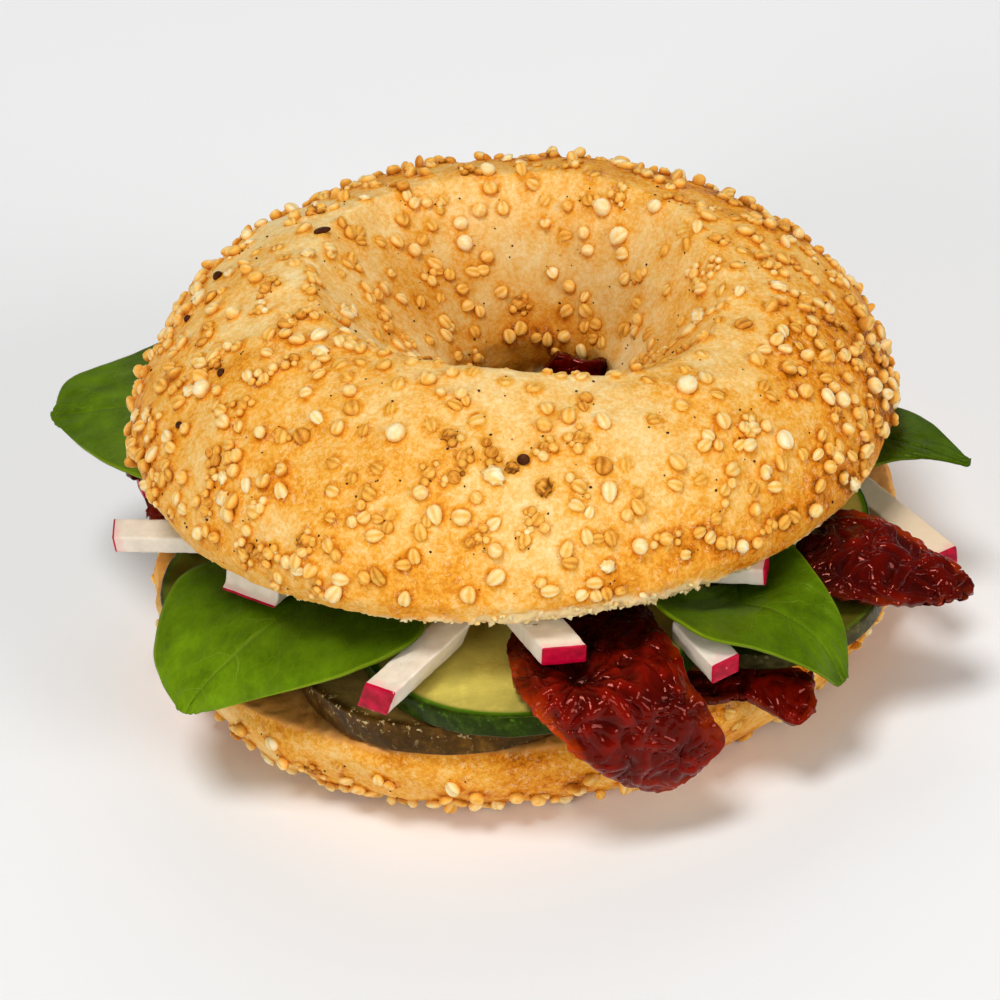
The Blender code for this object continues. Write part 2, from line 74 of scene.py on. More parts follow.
STICK_SPACING = 0.4
SEED_LINE_SPACING = 0.5                     # between the points of the section that seeds are placed on
LEAF_THICKNESS = 0.42
HALO_WIDTH, HALO_RISE = 0.7, 0.16           # of the dough that climbs up to a seed
SEED_REACH = 0.46                           # radius of a seed by half its length plus half its width
CELL = 4.0                                  # of the grid that keeps groups of seeds apart
TRIES_PER_GROUP = 30
FULL_RING = 54.0                            # radius where no seed is thinned out to keep them even


def number(name, value, words, **kind):
    return FloatProperty(name=name, description=words, default=value, **kind)


def length(name, millimetres, words):
    return number(name, millimetres * MM, words, unit="LENGTH")


def angle(name, degrees, words):
    return number(name, math.radians(degrees), words, subtype="ANGLE")


def how_many(name, value, words):
    return IntProperty(name=name, description=words, default=value, min=0)


def colour(name, value, words):
    return FloatVectorProperty(name=name, description=words, default=value, subtype="COLOR", size=3,
                               min=0, max=1)


class BagelSizes(bpy.types.PropertyGroup):
    base_radius: length("Base radius", 41.0, "Radius of the flat underside")
    bottom_radius: length("Bottom radius", 53.4, "Largest radius of the bottom half")
    bottom_widest: length("Bottom widest", 12.3, "Height of the bottom half's widest ring")
    bottom_rim: length("Bottom rim", 52.6, "Radius of the bottom half's cut face")
    cut_height: length("Cut height", 14.5, "Height of the bottom half's cut face")
    bottom_hole: length("Bottom hole", 9.0, "Radius of the bottom half's hole")
    top_radius: length("Top radius", 53.0, "Largest radius of the top half")
    top_edge: length("Top edge", 50.0, "Radius of the top half's cut face")
    top_widest: length("Top widest", 3.9, "Height of the top half's widest ring above its cut face")
    top_height: length("Top height", 26.1, "Height of the top half above its cut face")
    crest_radius: length("Crest radius", 27.5, "Radius of the ring where the top half is highest")
    neck_radius: length("Neck radius", 12.0, "Radius of the narrowest part of the hole")
    neck_height: length("Neck height", 7.2, "Height of the narrowest part above the cut face")


class SeedSizes(bpy.types.PropertyGroup):
    sesame_length: length("Sesame length", 2.6, "Length of a middling sesame seed")
    grain_width: length("Grain width", 2.05, "Width of a middling round grain")
    bead_width: length("Bead width", 1.1, "Width of the beads in the heaps")
    burst_width: length("Burst width", 2.5, "Width of a burst grain")
    speck_width: length("Speck width", 0.24, "Width of a dark speck")
    top_groups: how_many("Top groups", 760, "Seeds and heaps of seeds on the top half")
    bottom_groups: how_many("Bottom groups", 205, "Seeds and heaps on the bottom half")
    crumbs: how_many("Crumbs", 700, "Loose crumbs along the top half's cut edge")


class FoodColours(bpy.types.PropertyGroup):
    crust_pale: colour("Pale crust", (0.91, 0.57, 0.18), "Crust where it is floury")
    crust_gold: colour("Golden crust", (0.86, 0.385, 0.036), "Crust in most places")
    crust_brown: colour("Brown crust", (0.66, 0.185, 0.003), "Crust where it is baked most")
    crumb: colour("Crumb", (0.95, 0.68, 0.33), "Bread inside the crust")
    seed_pale: colour("Pale seed", (0.98, 0.70, 0.29), "Seeds that are hardly toasted")
    seed_gold: colour("Golden seed", (0.92, 0.47, 0.070), "Seeds that are as brown as the crust")
    seed_brown: colour("Toasted seed", (0.60, 0.20, 0.012), "Seeds that are toasted most")
    leaf: colour("Leaf", (0.130, 0.235, 0.003), "Leaf between its veins")
    tomato: colour("Dried tomato", (0.105, 0.0020, 0.0003), "Dried tomato on its folds")
    radish_rind: colour("Radish rind", (0.50, 0.0, 0.026), "Skin of the radish")
    radish_flesh: colour("Radish flesh", (0.93, 0.82, 0.67), "Radish inside")
    cucumber_flesh: colour("Cucumber flesh", (0.72, 0.60, 0.12), "Cucumber inside")
    cucumber_rind: colour("Cucumber rind", (0.017, 0.032, 0.002), "Skin of the cucumber")
    aubergine_flesh: colour("Aubergine flesh", (0.46, 0.28, 0.07), "Fried aubergine inside")
    aubergine_skin: colour("Aubergine skin", (0.070, 0.030, 0.004), "Skin of the aubergine")


class StageSettings(bpy.types.PropertyGroup):
    distance: length("Camera distance", 504.0, "From the camera to the point that it looks at")
    elevation: angle("Elevation", 33.852, "Camera's angle above the table")
    azimuth: angle("Azimuth", 0.372, "Camera's turn round the sandwich")
    roll: angle("Roll", 9.005, "Camera's turn about its own view")
    lens: number("Lens", 128.45, "Focal length", unit="CAMERA")
    floor: colour("Floor", (0.95, 0.95, 0.95), "Table top")
    sky: number("Sky", 0.15, "Strength of the even light from all round", min=0)
    key: number("Key lamp", 71.0, "Power of the lamp above", unit="POWER")
    left: number("Left lamp", 37.0, "Power of the low lamp on the left", unit="POWER")
    right: number("Right lamp", 47.0, "Power of the low lamp on the right", unit="POWER")
    back: number("Back lamp", 14.0, "Power of the lamp behind", unit="POWER")


def in_mm(value):
    return value / MM


# Finishing a piece

def to_mesh(bm, name):
    mesh = bpy.data.meshes.new(name)
    bm.to_mesh(mesh)
    bm.free()
    return mesh


def shown(name, data):
    """An object in the scene for a mesh, a lamp or a camera."""
    made = bpy.data.objects.new(name, data)
    bpy.context.scene.collection.objects.link(made)
    return made


def parts(bm):
    """Everything in a mesh, for a cut that goes through all of it."""
    return bm.verts[:] + bm.edges[:] + bm.faces[:]


def layers(bm, *names):
    """New layers that hold a number for each vertex."""
    return [bm.verts.layers.float.new(name) for name in names]


def chart(bm, name, place):
    """A UV map whose coordinates place gives for each vertex."""
    layer = bm.loops.layers.uv.new(name)
    for face in bm.faces:
        for loop in face.loops:
            loop[layer].uv = place(loop.vert)


def seal(bm, name, material, slot, *nodes):
    """Makes a mesh in millimetres a finished piece in metres that stands for the named nodes."""
    move = Matrix.Translation(AXIS * MM) @ Matrix.Scale(MM, 4)
    bmesh.ops.transform(bm, matrix=move, verts=bm.verts)
    mesh = to_mesh(bm, name)
    mesh.shade_smooth()
    mesh.materials.append(material)
    piece = shown(name, mesh)
    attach(piece, "root")
    if nodes:
        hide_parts(*nodes)
    return piece


def smoothstep(low, high, value):
    t = min(max((value - low) / (high - low), 0.0), 1.0)
    return t * t * (3 - 2 * t)


def hill(distance, width):
    """1 where distance is 0, falling softly to nothing past width on either side."""
    return math.exp(-(distance / width) ** 2)


def polar(co):
    return math.atan2(co.y, co.x), co.xy.length


def on_ring(radius, turn, height=0.0):
    return Vector((radius * math.cos(turn), radius * math.sin(turn), height))


def lumps(place, size, offset):
    """Smooth noise from about -1 to 1 whose lumps measure size millimetres."""
    return noise.noise(place / size + Vector((offset, offset, offset)))


def along(points, t):
    """A point on the smooth curve through the given points, at t from 0 to 1."""
    spans = len(points) - 1
    place = min(max(t, 0.0), 1.0) * spans
    first = min(int(place), spans - 1)
    u = place - first
    before = points[max(first - 1, 0)]
    start, end = points[first], points[first + 1]
    after = points[min(first + 2, spans)]
    return Vector([0.5 * (2 * b + (c - a) * u + (2 * a - 5 * b + 4 * c - d) * u * u
                          + (3 * b - a - 3 * c + d) * u ** 3)
                   for a, b, c, d in zip(before, start, end, after)])


# Materials

class Paint:
    """A material under construction, with short calls that add nodes and join them."""

    def __init__(self, name, **sockets):
        self.material = bpy.data.materials.new(name)
        self.material.use_nodes = True
        self.nodes = self.material.node_tree.nodes
        self.links = self.material.node_tree.links
        self.shader = self.nodes["Principled BSDF"]
        for socket, value in sockets.items():
            self.put(self.shader, socket.replace("_", " ").title().replace("Ior", "IOR"), value)
        self.place = self.add("ShaderNodeTexCoord").outputs["Object"]

    def put(self, node, socket, value):
        if isinstance(value, bpy.types.NodeSocket):
            self.links.new(value, node.inputs[socket])
        elif value is not None:
            node.inputs[socket].default_value = value

    def add(self, kind, sockets=None, **settings):
        node = self.nodes.new(kind)
        for key, value in settings.items():
            setattr(node, key, value)
        for socket, value in (sockets or {}).items():
            self.put(node, socket, value)
        return node

    def attribute(self, name):
        return self.add("ShaderNodeAttribute", attribute_name=name).outputs["Fac"]

    def math(self, operation, a, b=None, clamp=False):
        return self.add("ShaderNodeMath", {0: a, 1: b}, operation=operation, use_clamp=clamp).outputs[0]

    def times(self, a, b):
        return self.math("MULTIPLY", a, b)

    def plus(self, a, b, clamp=False):
        return self.math("ADD", a, b, clamp)

    def gap(self, a, b):
        return self.math("ABSOLUTE", self.math("SUBTRACT", a, b))

    def chart(self, name):
        """Both coordinates of a UV map."""
        place = self.add("ShaderNodeUVMap", uv_map=name).outputs[0]
        split = self.add("ShaderNodeSeparateXYZ", {"Vector": place})
        return split.outputs["X"], split.outputs["Y"]

    def noise(self, size, detail=3.0, roughness=0.55, distortion=0.0):
        """Noise whose largest features measure size millimetres."""
        return self.add("ShaderNodeTexNoise", {"Vector": self.place, "Scale": 1 / (size * MM),
                                               "Detail": detail, "Roughness": roughness,
                                               "Distortion": distortion}).outputs["Fac"]

    def cells(self, size, feature="F1"):
        """Distance from the nearest of points about size millimetres apart."""
        return self.add("ShaderNodeTexVoronoi", {"Vector": self.place, "Scale": 1 / (size * MM)},
                        feature=feature).outputs["Distance"]

    def between(self, value, low, high, start=0.0, end=1.0):
        """Smoothly from start where value is low to end where it is high."""
        return self.add("ShaderNodeMapRange", {"Value": value, "From Min": low, "From Max": high,
                                               "To Min": start, "To Max": end},
                        interpolation_type="SMOOTHSTEP").outputs["Result"]

    def vary(self, value, amount):
        """Noise made a number from -amount to amount."""
        return self.between(value, 0.3, 0.7, -amount, amount)

    def ramp(self, value, *stops):
        node = self.add("ShaderNodeValToRGB", {"Fac": value})
        elements = node.color_ramp.elements
        while len(elements) < len(stops):
            elements.new(0.5)
        for element, (position, rgb) in zip(elements, stops):
            element.position = position
            element.color = (*rgb, 1.0)
        return node.outputs["Color"]

    def shades(self, value, rgb, *stops):
        """A ramp of darker and lighter shades of one colour."""
        return self.ramp(value, *((position, scaled(rgb, factor)) for position, factor in stops))

    def mix(self, share, a, b, blend="MIX"):
        node = self.add("ShaderNodeMix", data_type="RGBA", blend_type=blend)
        self.put(node, "Factor", share)
        for socket, value in ((6, a), (7, b)):
            self.put(node, socket, value if isinstance(value, bpy.types.NodeSocket) else (*value, 1.0))
        return node.outputs[2]

    def bump(self, *reliefs):
        """Relief from (height, depth in millimetres) pairs, the finest last."""
        normal = None
        for height, depth in reliefs:
            normal = self.add("ShaderNodeBump", {"Height": height, "Distance": depth * MM, "Strength": 1.0,
                                                 "Normal": normal}).outputs["Normal"]
        self.put(self.shader, "Normal", normal)

    def finish(self, colour, roughness=None):
        self.put(self.shader, "Base Color", colour)
        self.put(self.shader, "Roughness", roughness)
        return self.material


def scaled(rgb, factor):
    return tuple(min(channel * factor, 1.0) for channel in rgb)


def crust_material(colours):
    """Baked crust with fine pale flecks, which turns to crumb where the bread was cut."""
    paint = Paint("crust", specular_ior_level=0.1, specular_tint=(1.0, 0.75, 0.45, 1.0),
                  subsurface_weight=0.25, subsurface_scale=0.001)
    mottle = paint.noise(2.8, 5.0, 0.62)
    grain = paint.noise(0.6, 3.0, 0.6, distortion=0.6)
    patches = paint.noise(11.0, 3.0, 0.6)
    # bake holds how baked the crust is together with painted shade.
    bake = paint.plus(paint.attribute("bake"), paint.vary(patches, 0.10))
    bake = paint.plus(bake, paint.between(mottle, 0.32, 0.68, -0.09, 0.09))
    bake = paint.plus(bake, paint.between(grain, 0.34, 0.66, 0.12, -0.12))
    # Painted contact shade: the crust is browner in a narrow ring round each seed.
    bake = paint.plus(bake, paint.times(paint.attribute("halo"), 0.30), clamp=True)
    crust = paint.ramp(bake, (0.0, (0.95, 0.72, 0.36)), (0.26, colours.crust_pale),
                       (0.52, colours.crust_gold), (0.82, colours.crust_brown),
                       (1.0, scaled(colours.crust_brown, 0.45)))
    worm = paint.gap(paint.noise(1.1, 2.0, 0.6, distortion=0.8), 0.5)
    broken = paint.between(paint.noise(1.3, 2.0), 0.50, 0.60, 0.0, 0.32)
    flecks = paint.times(paint.between(worm, 0.012, 0.045, 1.0, 0.0), broken)
    crust = paint.mix(flecks, crust, (1.0, 0.80, 0.46))
    char = paint.times(paint.between(paint.cells(3.4), 0.09, 0.05),
                      paint.between(paint.noise(5.0, 2.0), 0.58, 0.66))
    crust = paint.mix(char, crust, scaled(colours.crust_brown, 0.3))
    # Painted shade: dull darkens the crust inside the funnel and the hole, most at the back.
    crust = paint.mix(paint.attribute("dull"), crust, (0.76, 0.69, 0.58), "MULTIPLY")
    pores = paint.noise(1.1, 4.0, 0.7)
    crumb = paint.shades(pores, colours.crumb, (0.3, 0.70), (0.5, 1.0), (0.75, 1.1))
    crumb = paint.mix(paint.attribute("toast"), crumb, (0.70, 0.23, 0.006))
    paint.bump((mottle, 0.22), (grain, 0.07))
    return paint.finish(paint.mix(paint.attribute("crumb"), crust, crumb),
                        paint.between(mottle, 0.3, 0.7, 0.62, 0.46))


def seed_material(colours):
    """Seeds from cream to toasted brown, with painted shade on the lower side of each where it meets the
    dough and in its grooves and hollows.
    """
    paint = Paint("seed", specular_ior_level=0.25, specular_tint=(1.0, 0.8, 0.5, 1.0),
                  subsurface_weight=0.2, subsurface_scale=0.0008)
    tone = paint.plus(paint.attribute("tone"), paint.vary(paint.noise(1.1, 3.0), 0.08))
    # rim is painted shade: darker on each seed's lower side and in its grooves and hollows.
    tone = paint.plus(tone, paint.times(paint.attribute("rim"), 0.36), clamp=True)
    skin = paint.ramp(tone, (0.0, (1.0, 0.85, 0.55)), (0.22, colours.seed_pale), (0.50, colours.seed_gold),
                      (0.80, colours.seed_brown), (1.0, scaled(colours.seed_brown, 0.25)))
    paint.bump((paint.noise(0.5, 2.0), 0.05))
    return paint.finish(skin, 0.42)


def dark_seed_material():
    paint = Paint("dark_seed", specular_ior_level=0.15, specular_tint=(1.0, 0.6, 0.4, 1.0))
    paint.bump((paint.noise(0.4, 2.0), 0.05))
    shell = paint.ramp(paint.noise(0.9), (0.35, (0.030, 0.007, 0.002)), (0.7, (0.10, 0.028, 0.008)))
    return paint.finish(shell, 0.4)


def leaf_material(colours):
    """A smooth leaf, with a faint midrib, thin side veins and a bright edge."""
    paint = Paint("leaf", specular_ior_level=0.2, specular_tint=(0.75, 1.0, 0.15, 1.0))
    run, breadth = paint.chart("leaf_map")
    side = paint.gap(paint.times(breadth, 2.0), 1.0)
    wander = paint.vary(paint.noise(7.0, 2.0), 0.035)
    swept = paint.math("SUBTRACT", run, paint.times(paint.math("POWER", side, 1.25), 0.30))
    phase = paint.math("FRACT", paint.times(paint.plus(swept, wander), 6.0))
    off = paint.gap(phase, 0.5)
    width = paint.between(side, 0.0, 1.0, 0.040, 0.010)
    vein = paint.between(paint.math("DIVIDE", off, width), 0.0, 1.0, 1.0, 0.0)
    rib = paint.between(paint.plus(side, paint.times(wander, 0.3)), 0.006, 0.026, 1.0, 0.0)
    fade = paint.between(paint.noise(8.0, 2.0), 0.4, 0.6, 0.25, 1.0)
    lines = paint.times(paint.math("MAXIMUM", paint.times(vein, 0.32), paint.times(rib, 0.24)), fade)
    net = paint.between(paint.cells(1.5, "DISTANCE_TO_EDGE"), 0.0, 0.12, 0.5, 0.0)
    tint = paint.noise(7.0, 4.0, 0.65)
    green = paint.shades(tint, colours.leaf, (0.3, 0.58), (0.55, 1.0), (0.76, 1.45))
    green = paint.mix(paint.times(net, 0.2), green, scaled(colours.leaf, 1.6))
    edge = paint.between(side, 0.955, 1.0)
    green = paint.mix(paint.times(edge, 0.55), green, (0.30, 0.42, 0.01))
    green = paint.mix(lines, green, (0.30, 0.42, 0.03))
    # Painted shade: darker towards the hidden end under the bread, and over the whole of some leaves.
    green = paint.mix(paint.attribute("deep"), green, (0.26, 0.30, 0.10), "MULTIPLY")
    paint.bump((paint.noise(3.2, 3.0), 0.26), (lines, -0.16), (net, -0.05))
    return paint.finish(green, paint.between(tint, 0.3, 0.7, 0.30, 0.42))


def tomato_material(colours):
    """Oily dried tomato, with painted shade near black in its folds and under the bread, and a painted
    orange glow of light where an edge is thin.
    """
    paint = Paint("dried_tomato", specular_ior_level=0.38, specular_tint=(1.0, 0.30, 0.24, 1.0))
    # fold is painted shade: near black deep in the folds, lighter on the ridges.
    fold = paint.plus(paint.attribute("fold"), paint.vary(paint.noise(3.0, 4.0), 0.18))
    flesh = paint.shades(fold, colours.tomato, (0.08, 0.10), (0.42, 0.55), (0.72, 1.0), (0.96, 1.8))
    # Painted glow of light through the thin edges, orange, stronger on the left edge.
    thin = paint.times(paint.attribute("thin"), paint.between(paint.noise(5.0, 3.0), 0.34, 0.62))
    flesh = paint.mix(thin, flesh, (0.42, 0.040, 0.002))
    dots = paint.between(paint.cells(2.0), 0.09, 0.05)
    dots = paint.times(dots, paint.between(paint.noise(4.0), 0.5, 0.6))
    flesh = paint.mix(paint.times(dots, 0.7), flesh, (0.55, 0.14, 0.02))
    # Painted shade: darker towards the inner end under the bread.
    flesh = paint.mix(paint.attribute("deep"), flesh, (0.30, 0.30, 0.30), "MULTIPLY")
    paint.bump((paint.noise(3.0, 2.0, 0.5), 0.26), (paint.noise(1.2, 1.0, 0.5), 0.05))
    return paint.finish(flesh, paint.between(fold, 0.2, 0.8, 0.16, 0.06))


def radish_material(colours):
    """White flesh that turns pink just under the bright rind at one end."""
    paint = Paint("radish", subsurface_weight=0.1, subsurface_scale=0.001, specular_ior_level=0.12)
    rind = paint.attribute("rind")
    fibre = paint.noise(1.8, 4.0, 0.6)
    flesh = paint.shades(fibre, colours.radish_flesh, (0.3, 0.88), (0.7, 1.06))
    # Painted warm light: the whole flesh of some sticks is made paler and warmer, as if lit by light from
    # the bread.
    flesh = paint.mix(paint.attribute("aged"), flesh, (1.0, 0.77, 0.52))
    blush = paint.between(paint.plus(rind, paint.vary(fibre, 0.10)), 0.70, 1.0, 0.0, 0.45)
    flesh = paint.mix(blush, flesh, (0.85, 0.30, 0.36))
    skin = paint.ramp(paint.noise(1.6, 3.0), (0.35, scaled(colours.radish_rind, 0.62)),
                      (0.5, colours.radish_rind), (0.68, (0.62, 0.003, 0.045)))
    glint = paint.between(paint.noise(0.8, 2.0), 0.71, 0.78)
    skin = paint.mix(glint, skin, (0.95, 0.55, 0.60))
    paint.bump((fibre, 0.10))
    return paint.finish(paint.mix(paint.between(rind, 0.94, 0.96), flesh, skin), 0.35)


def slice_material(name, flesh, skin, glow, ring, flecks, gloss):
    """A vegetable slice: paler seeds in a ring of its flesh, glow inside the skin, flecks on the skin."""
    paint = Paint(name, specular_ior_level=0.14, specular_tint=(*gloss, 1.0))
    across, down = (paint.gap(way, 0.5) for way in paint.chart("slice_map"))
    reach = paint.plus(paint.times(across, across), paint.times(down, down))
    reach = paint.times(paint.math("SQRT", reach), 2.0)
    streak = paint.noise(1.6, 4.0, 0.65)
    cloudy = paint.noise(4.5, 3.0, 0.6)
    tone = paint.plus(reach, paint.vary(cloudy, 0.04))
    body = paint.shades(tone, flesh, (0.25, 0.9), (0.62, 1.1), (0.9, 0.72))
    body = paint.mix(paint.between(streak, 0.45, 0.75, 0.0, 0.35), body, scaled(flesh, 1.3))
    body = paint.mix(paint.between(paint.noise(9.0, 2.0), 0.40, 0.62, 0.0, 0.6), body, scaled(flesh, 0.62))
    seeds = paint.times(paint.between(paint.cells(3.6), 0.26, 0.16), paint.between(reach, 0.66, 0.56))
    body = paint.mix(paint.times(seeds, 0.5), body, scaled(flesh, 1.5))
    body = paint.mix(paint.between(reach, ring - 0.02, ring), body, glow)
    rind = paint.shades(paint.noise(2.4, 4.0, 0.7), skin, (0.35, 0.55), (0.52, 1.0), (0.70, 2.4))
    dots = paint.between(paint.noise(0.8, 3.0, 0.6), 0.60, 0.66)
    dots = paint.times(dots, paint.between(paint.attribute("high"), 0.35, 0.9, 0.15, 1.0))
    rind = paint.mix(dots, rind, flecks)
    paint.bump((streak, 0.14), (cloudy, 0.2))
    return paint.finish(paint.mix(paint.attribute("skin"), body, rind), 0.3)


def floor_material(floor_colour):
    paint = Paint("table_top")
    return paint.finish(paint.mix(paint.between(paint.noise(60.0), 0.3, 0.7, 0.0, 0.04), floor_colour,
                                  scaled(floor_colour, 0.96)), 0.6)


# Bagel

def bottom_section(sizes):
    """Section of the bottom half as three runs: underside, crust, and cut face with the hole's wall."""
    base, widest = in_mm(sizes.base_radius), in_mm(sizes.bottom_widest)
    reach, cut = in_mm(sizes.bottom_radius), in_mm(sizes.cut_height)
    hole = in_mm(sizes.bottom_hole)
    steps = 24
    bulge = [(base + (reach - base) * math.sin(k / steps * math.pi / 2),
              widest * (1 - math.cos(k / steps * math.pi / 2))) for k in range(steps + 1)]
    rim = (in_mm(sizes.bottom_rim), cut)
    wall = [rim, (hole + 2.5, cut), (hole, 8.0), (hole + 1.0, 2.0), (hole + 4.0, 0.0)]
    return [(hole + 4.0, 0.0), (base, 0.0)], bulge + [rim], wall


def top_section(sizes):
    """Section of the top half as four runs: edge, outside, funnel with the hole, and cut face."""
    edge, reach = in_mm(sizes.top_edge), in_mm(sizes.top_radius)
    widest, height = in_mm(sizes.top_widest), in_mm(sizes.top_height)
    crest, neck, low = in_mm(sizes.crest_radius), in_mm(sizes.neck_radius), in_mm(sizes.neck_height)
    steps = 60
    outer, funnel = [], []
    for k in range(steps + 1):
        t = k / steps * math.pi / 2
        outer.append((crest + (reach - crest) * math.cos(t) ** (2 / 1.78),
                      widest + (height - widest) * math.sin(t) ** (2 / 1.78)))
        funnel.append((crest - (crest - neck) * math.sin(t) ** (2 / 1.05),
                       low + (height - low) * math.cos(t) ** (2 / 1.05)))
    hole = [(neck + 0.3, low / 2), (neck + 1.5, 0.0)]
    turn_up = [(edge, 0.0), (edge + 2.2, widest * 0.35), outer[0]]
    return turn_up, outer, funnel + hole, [hole[1], (edge, 0.0)]


def spaced(points, step):
    """The same open line with its points about one step apart, the last one left out."""
    runs = [max(math.dist(a, b), 1e-9) for a, b in zip(points, points[1:])]
    count = round(sum(runs) / step)
    gap = sum(runs) / count
    made, span, passed = [], 0, 0.0
    for k in range(count):
        while passed + runs[span] < k * gap:
            passed += runs[span]
            span += 1
        share = (k * gap - passed) / runs[span]
        (r0, z0), (r1, z1) = points[span], points[span + 1]
        made.append((r0 + (r1 - r0) * share, z0 + (z1 - z0) * share))
    return made


def turned(section, steps, ring=True):
    """A body turned from a section whose points join in a ring, or else run from axis to axis."""
    bm = bmesh.new()
    points = [bm.verts.new((radius, 0.0, height)) for radius, height in section]
    line = [bm.edges.new(pair) for pair in zip(points, points[1:] + (points[:1] if ring else []))]
    bmesh.ops.spin(bm, geom=points + line, cent=(0, 0, 0), axis=(0, 0, 1), angle=2 * math.pi,
                   steps=steps, use_merge=True)
    if not ring:
        bmesh.ops.remove_doubles(bm, verts=bm.verts, dist=0.01)
    bmesh.ops.recalc_face_normals(bm, faces=bm.faces)
    return bm


def uneven_bottom(co, _):
    turn, radius = polar(co)
    share = smoothstep(25, 50, radius) * (0.3 * math.cos(2 * turn + 0.6) + lumps(co, 14, 3.0))
    grow = 1 + share * smoothstep(0.0, 6.0, co.z) / radius
    return Vector((co.x * grow, co.y * grow, co.z))


def uneven_top(co, sizes):
    """Bulges and dents of the top half, and the hole's shift, before the tilt."""
    turn, radius = polar(co)
    crest, neck = in_mm(sizes.crest_radius), in_mm(sizes.neck_radius)
    outward = smoothstep(crest, in_mm(sizes.top_radius), radius)
    share = outward * (0.27 * math.cos(2 * turn) + 0.66 * math.sin(2 * turn))
    share += smoothstep(0.0, 8.0, co.z) * 1.2 * lumps(co, 15, 7.0)
    slope = -0.62 * math.cos(turn) + 0.70 * math.sin(turn)
    lift = 1 + slope / in_mm(sizes.top_height) + 0.03 * lumps(co, 18, 11.0)
    inward = 1 - smoothstep(neck, crest, radius)
    sag = hill(math.degrees(turn) + 45, 38) * (1 - inward) * (1 - smoothstep(crest, 50, radius))
    share += 4.0 * sag
    lift -= 0.13 * sag
    grow = 1 + share / radius
    return Vector((co.x * grow, co.y * grow, co.z * lift)) + HOLE_SHIFT * inward


def top_pose(co):
    return TOP_CENTRE + TOP_TILT.to_matrix() @ co


def rim_band(co):
    """Height of the bare crumb above the top half's cut face, taller at the front."""
    front = hill(math.degrees(polar(co)[0]) + 86, 20)
    return 0.9 + 1.8 * front + 1.6 * max(lumps(co * Vector((1, 1, 0)), 8, 2.0), 0.0)


def top_crumb(co):
    """How much of the top half's surface is bare crumb: its cut face and a ragged rim above it."""
    ragged = rim_band(co) + 0.9 * lumps(co, 1.9, 4.0) + 0.6 * lumps(co, 0.8, 4.5)
    return 1 - smoothstep(ragged - 0.35, ragged + 0.35, co.z)


def bottom_crumb(co):
    """The bottom half's cut face, its ragged rim and the wall of its hole."""
    ragged = 14.15 + 0.4 * lumps(co, 6, 5.0) + 0.4 * lumps(co, 1.6, 8.0)
    return smoothstep(ragged - 0.3, ragged + 0.3, co.z)


def top_bake_and_shade(co):
    """How brown the top half's crust is, from 0 to 1, with painted shade added deep in the hole at the back
    and low on the sides.
    """
    turn, radius = polar(co)
    right = smoothstep(0.35, 1.0, math.cos(turn - 0.1)) * smoothstep(30, 45, radius)
    behind = smoothstep(0.3, 1.0, math.cos(turn - 1.25)) * smoothstep(24, 36, radius)
    left = smoothstep(0.5, 1.0, math.cos(turn - 3.6)) * smoothstep(34, 50, radius)
    floury = hill(math.degrees(turn) - 82, 26) * hill(radius - 19, 4.5)
    # Painted shade deep in the hole at the back, added as extra brown.
    crease = hill(math.degrees(turn) - 75, 40) * hill(radius - 13, 1.8)
    brown = 0.30 + 0.22 * lumps(co, 17, 1.0) + 0.08 * lumps(co, 6, 1.5)
    # Painted shade low on the sides, strongest at the front right.
    low_side_shade = smoothstep(13, 5, co.z) * smoothstep(40, 48, radius)
    low_side_shade *= 0.08 + 0.16 * max(math.cos(turn + 0.75), 0.0)
    return brown + 0.34 * right + 0.30 * behind + 0.15 * left + low_side_shade - 0.20 * floury + 0.35 * crease


def bottom_bake_and_shade(co):
    # Darker than the top half and darker still just under the cut, partly as baking and partly as painted
    # shade under the top half; paler on the left.
    brown = 0.55 - 0.12 * smoothstep(-5, -30, co.x) + 0.22 * lumps(co, 13, 6.0)
    return brown + 0.16 * smoothstep(11, 14, co.z)


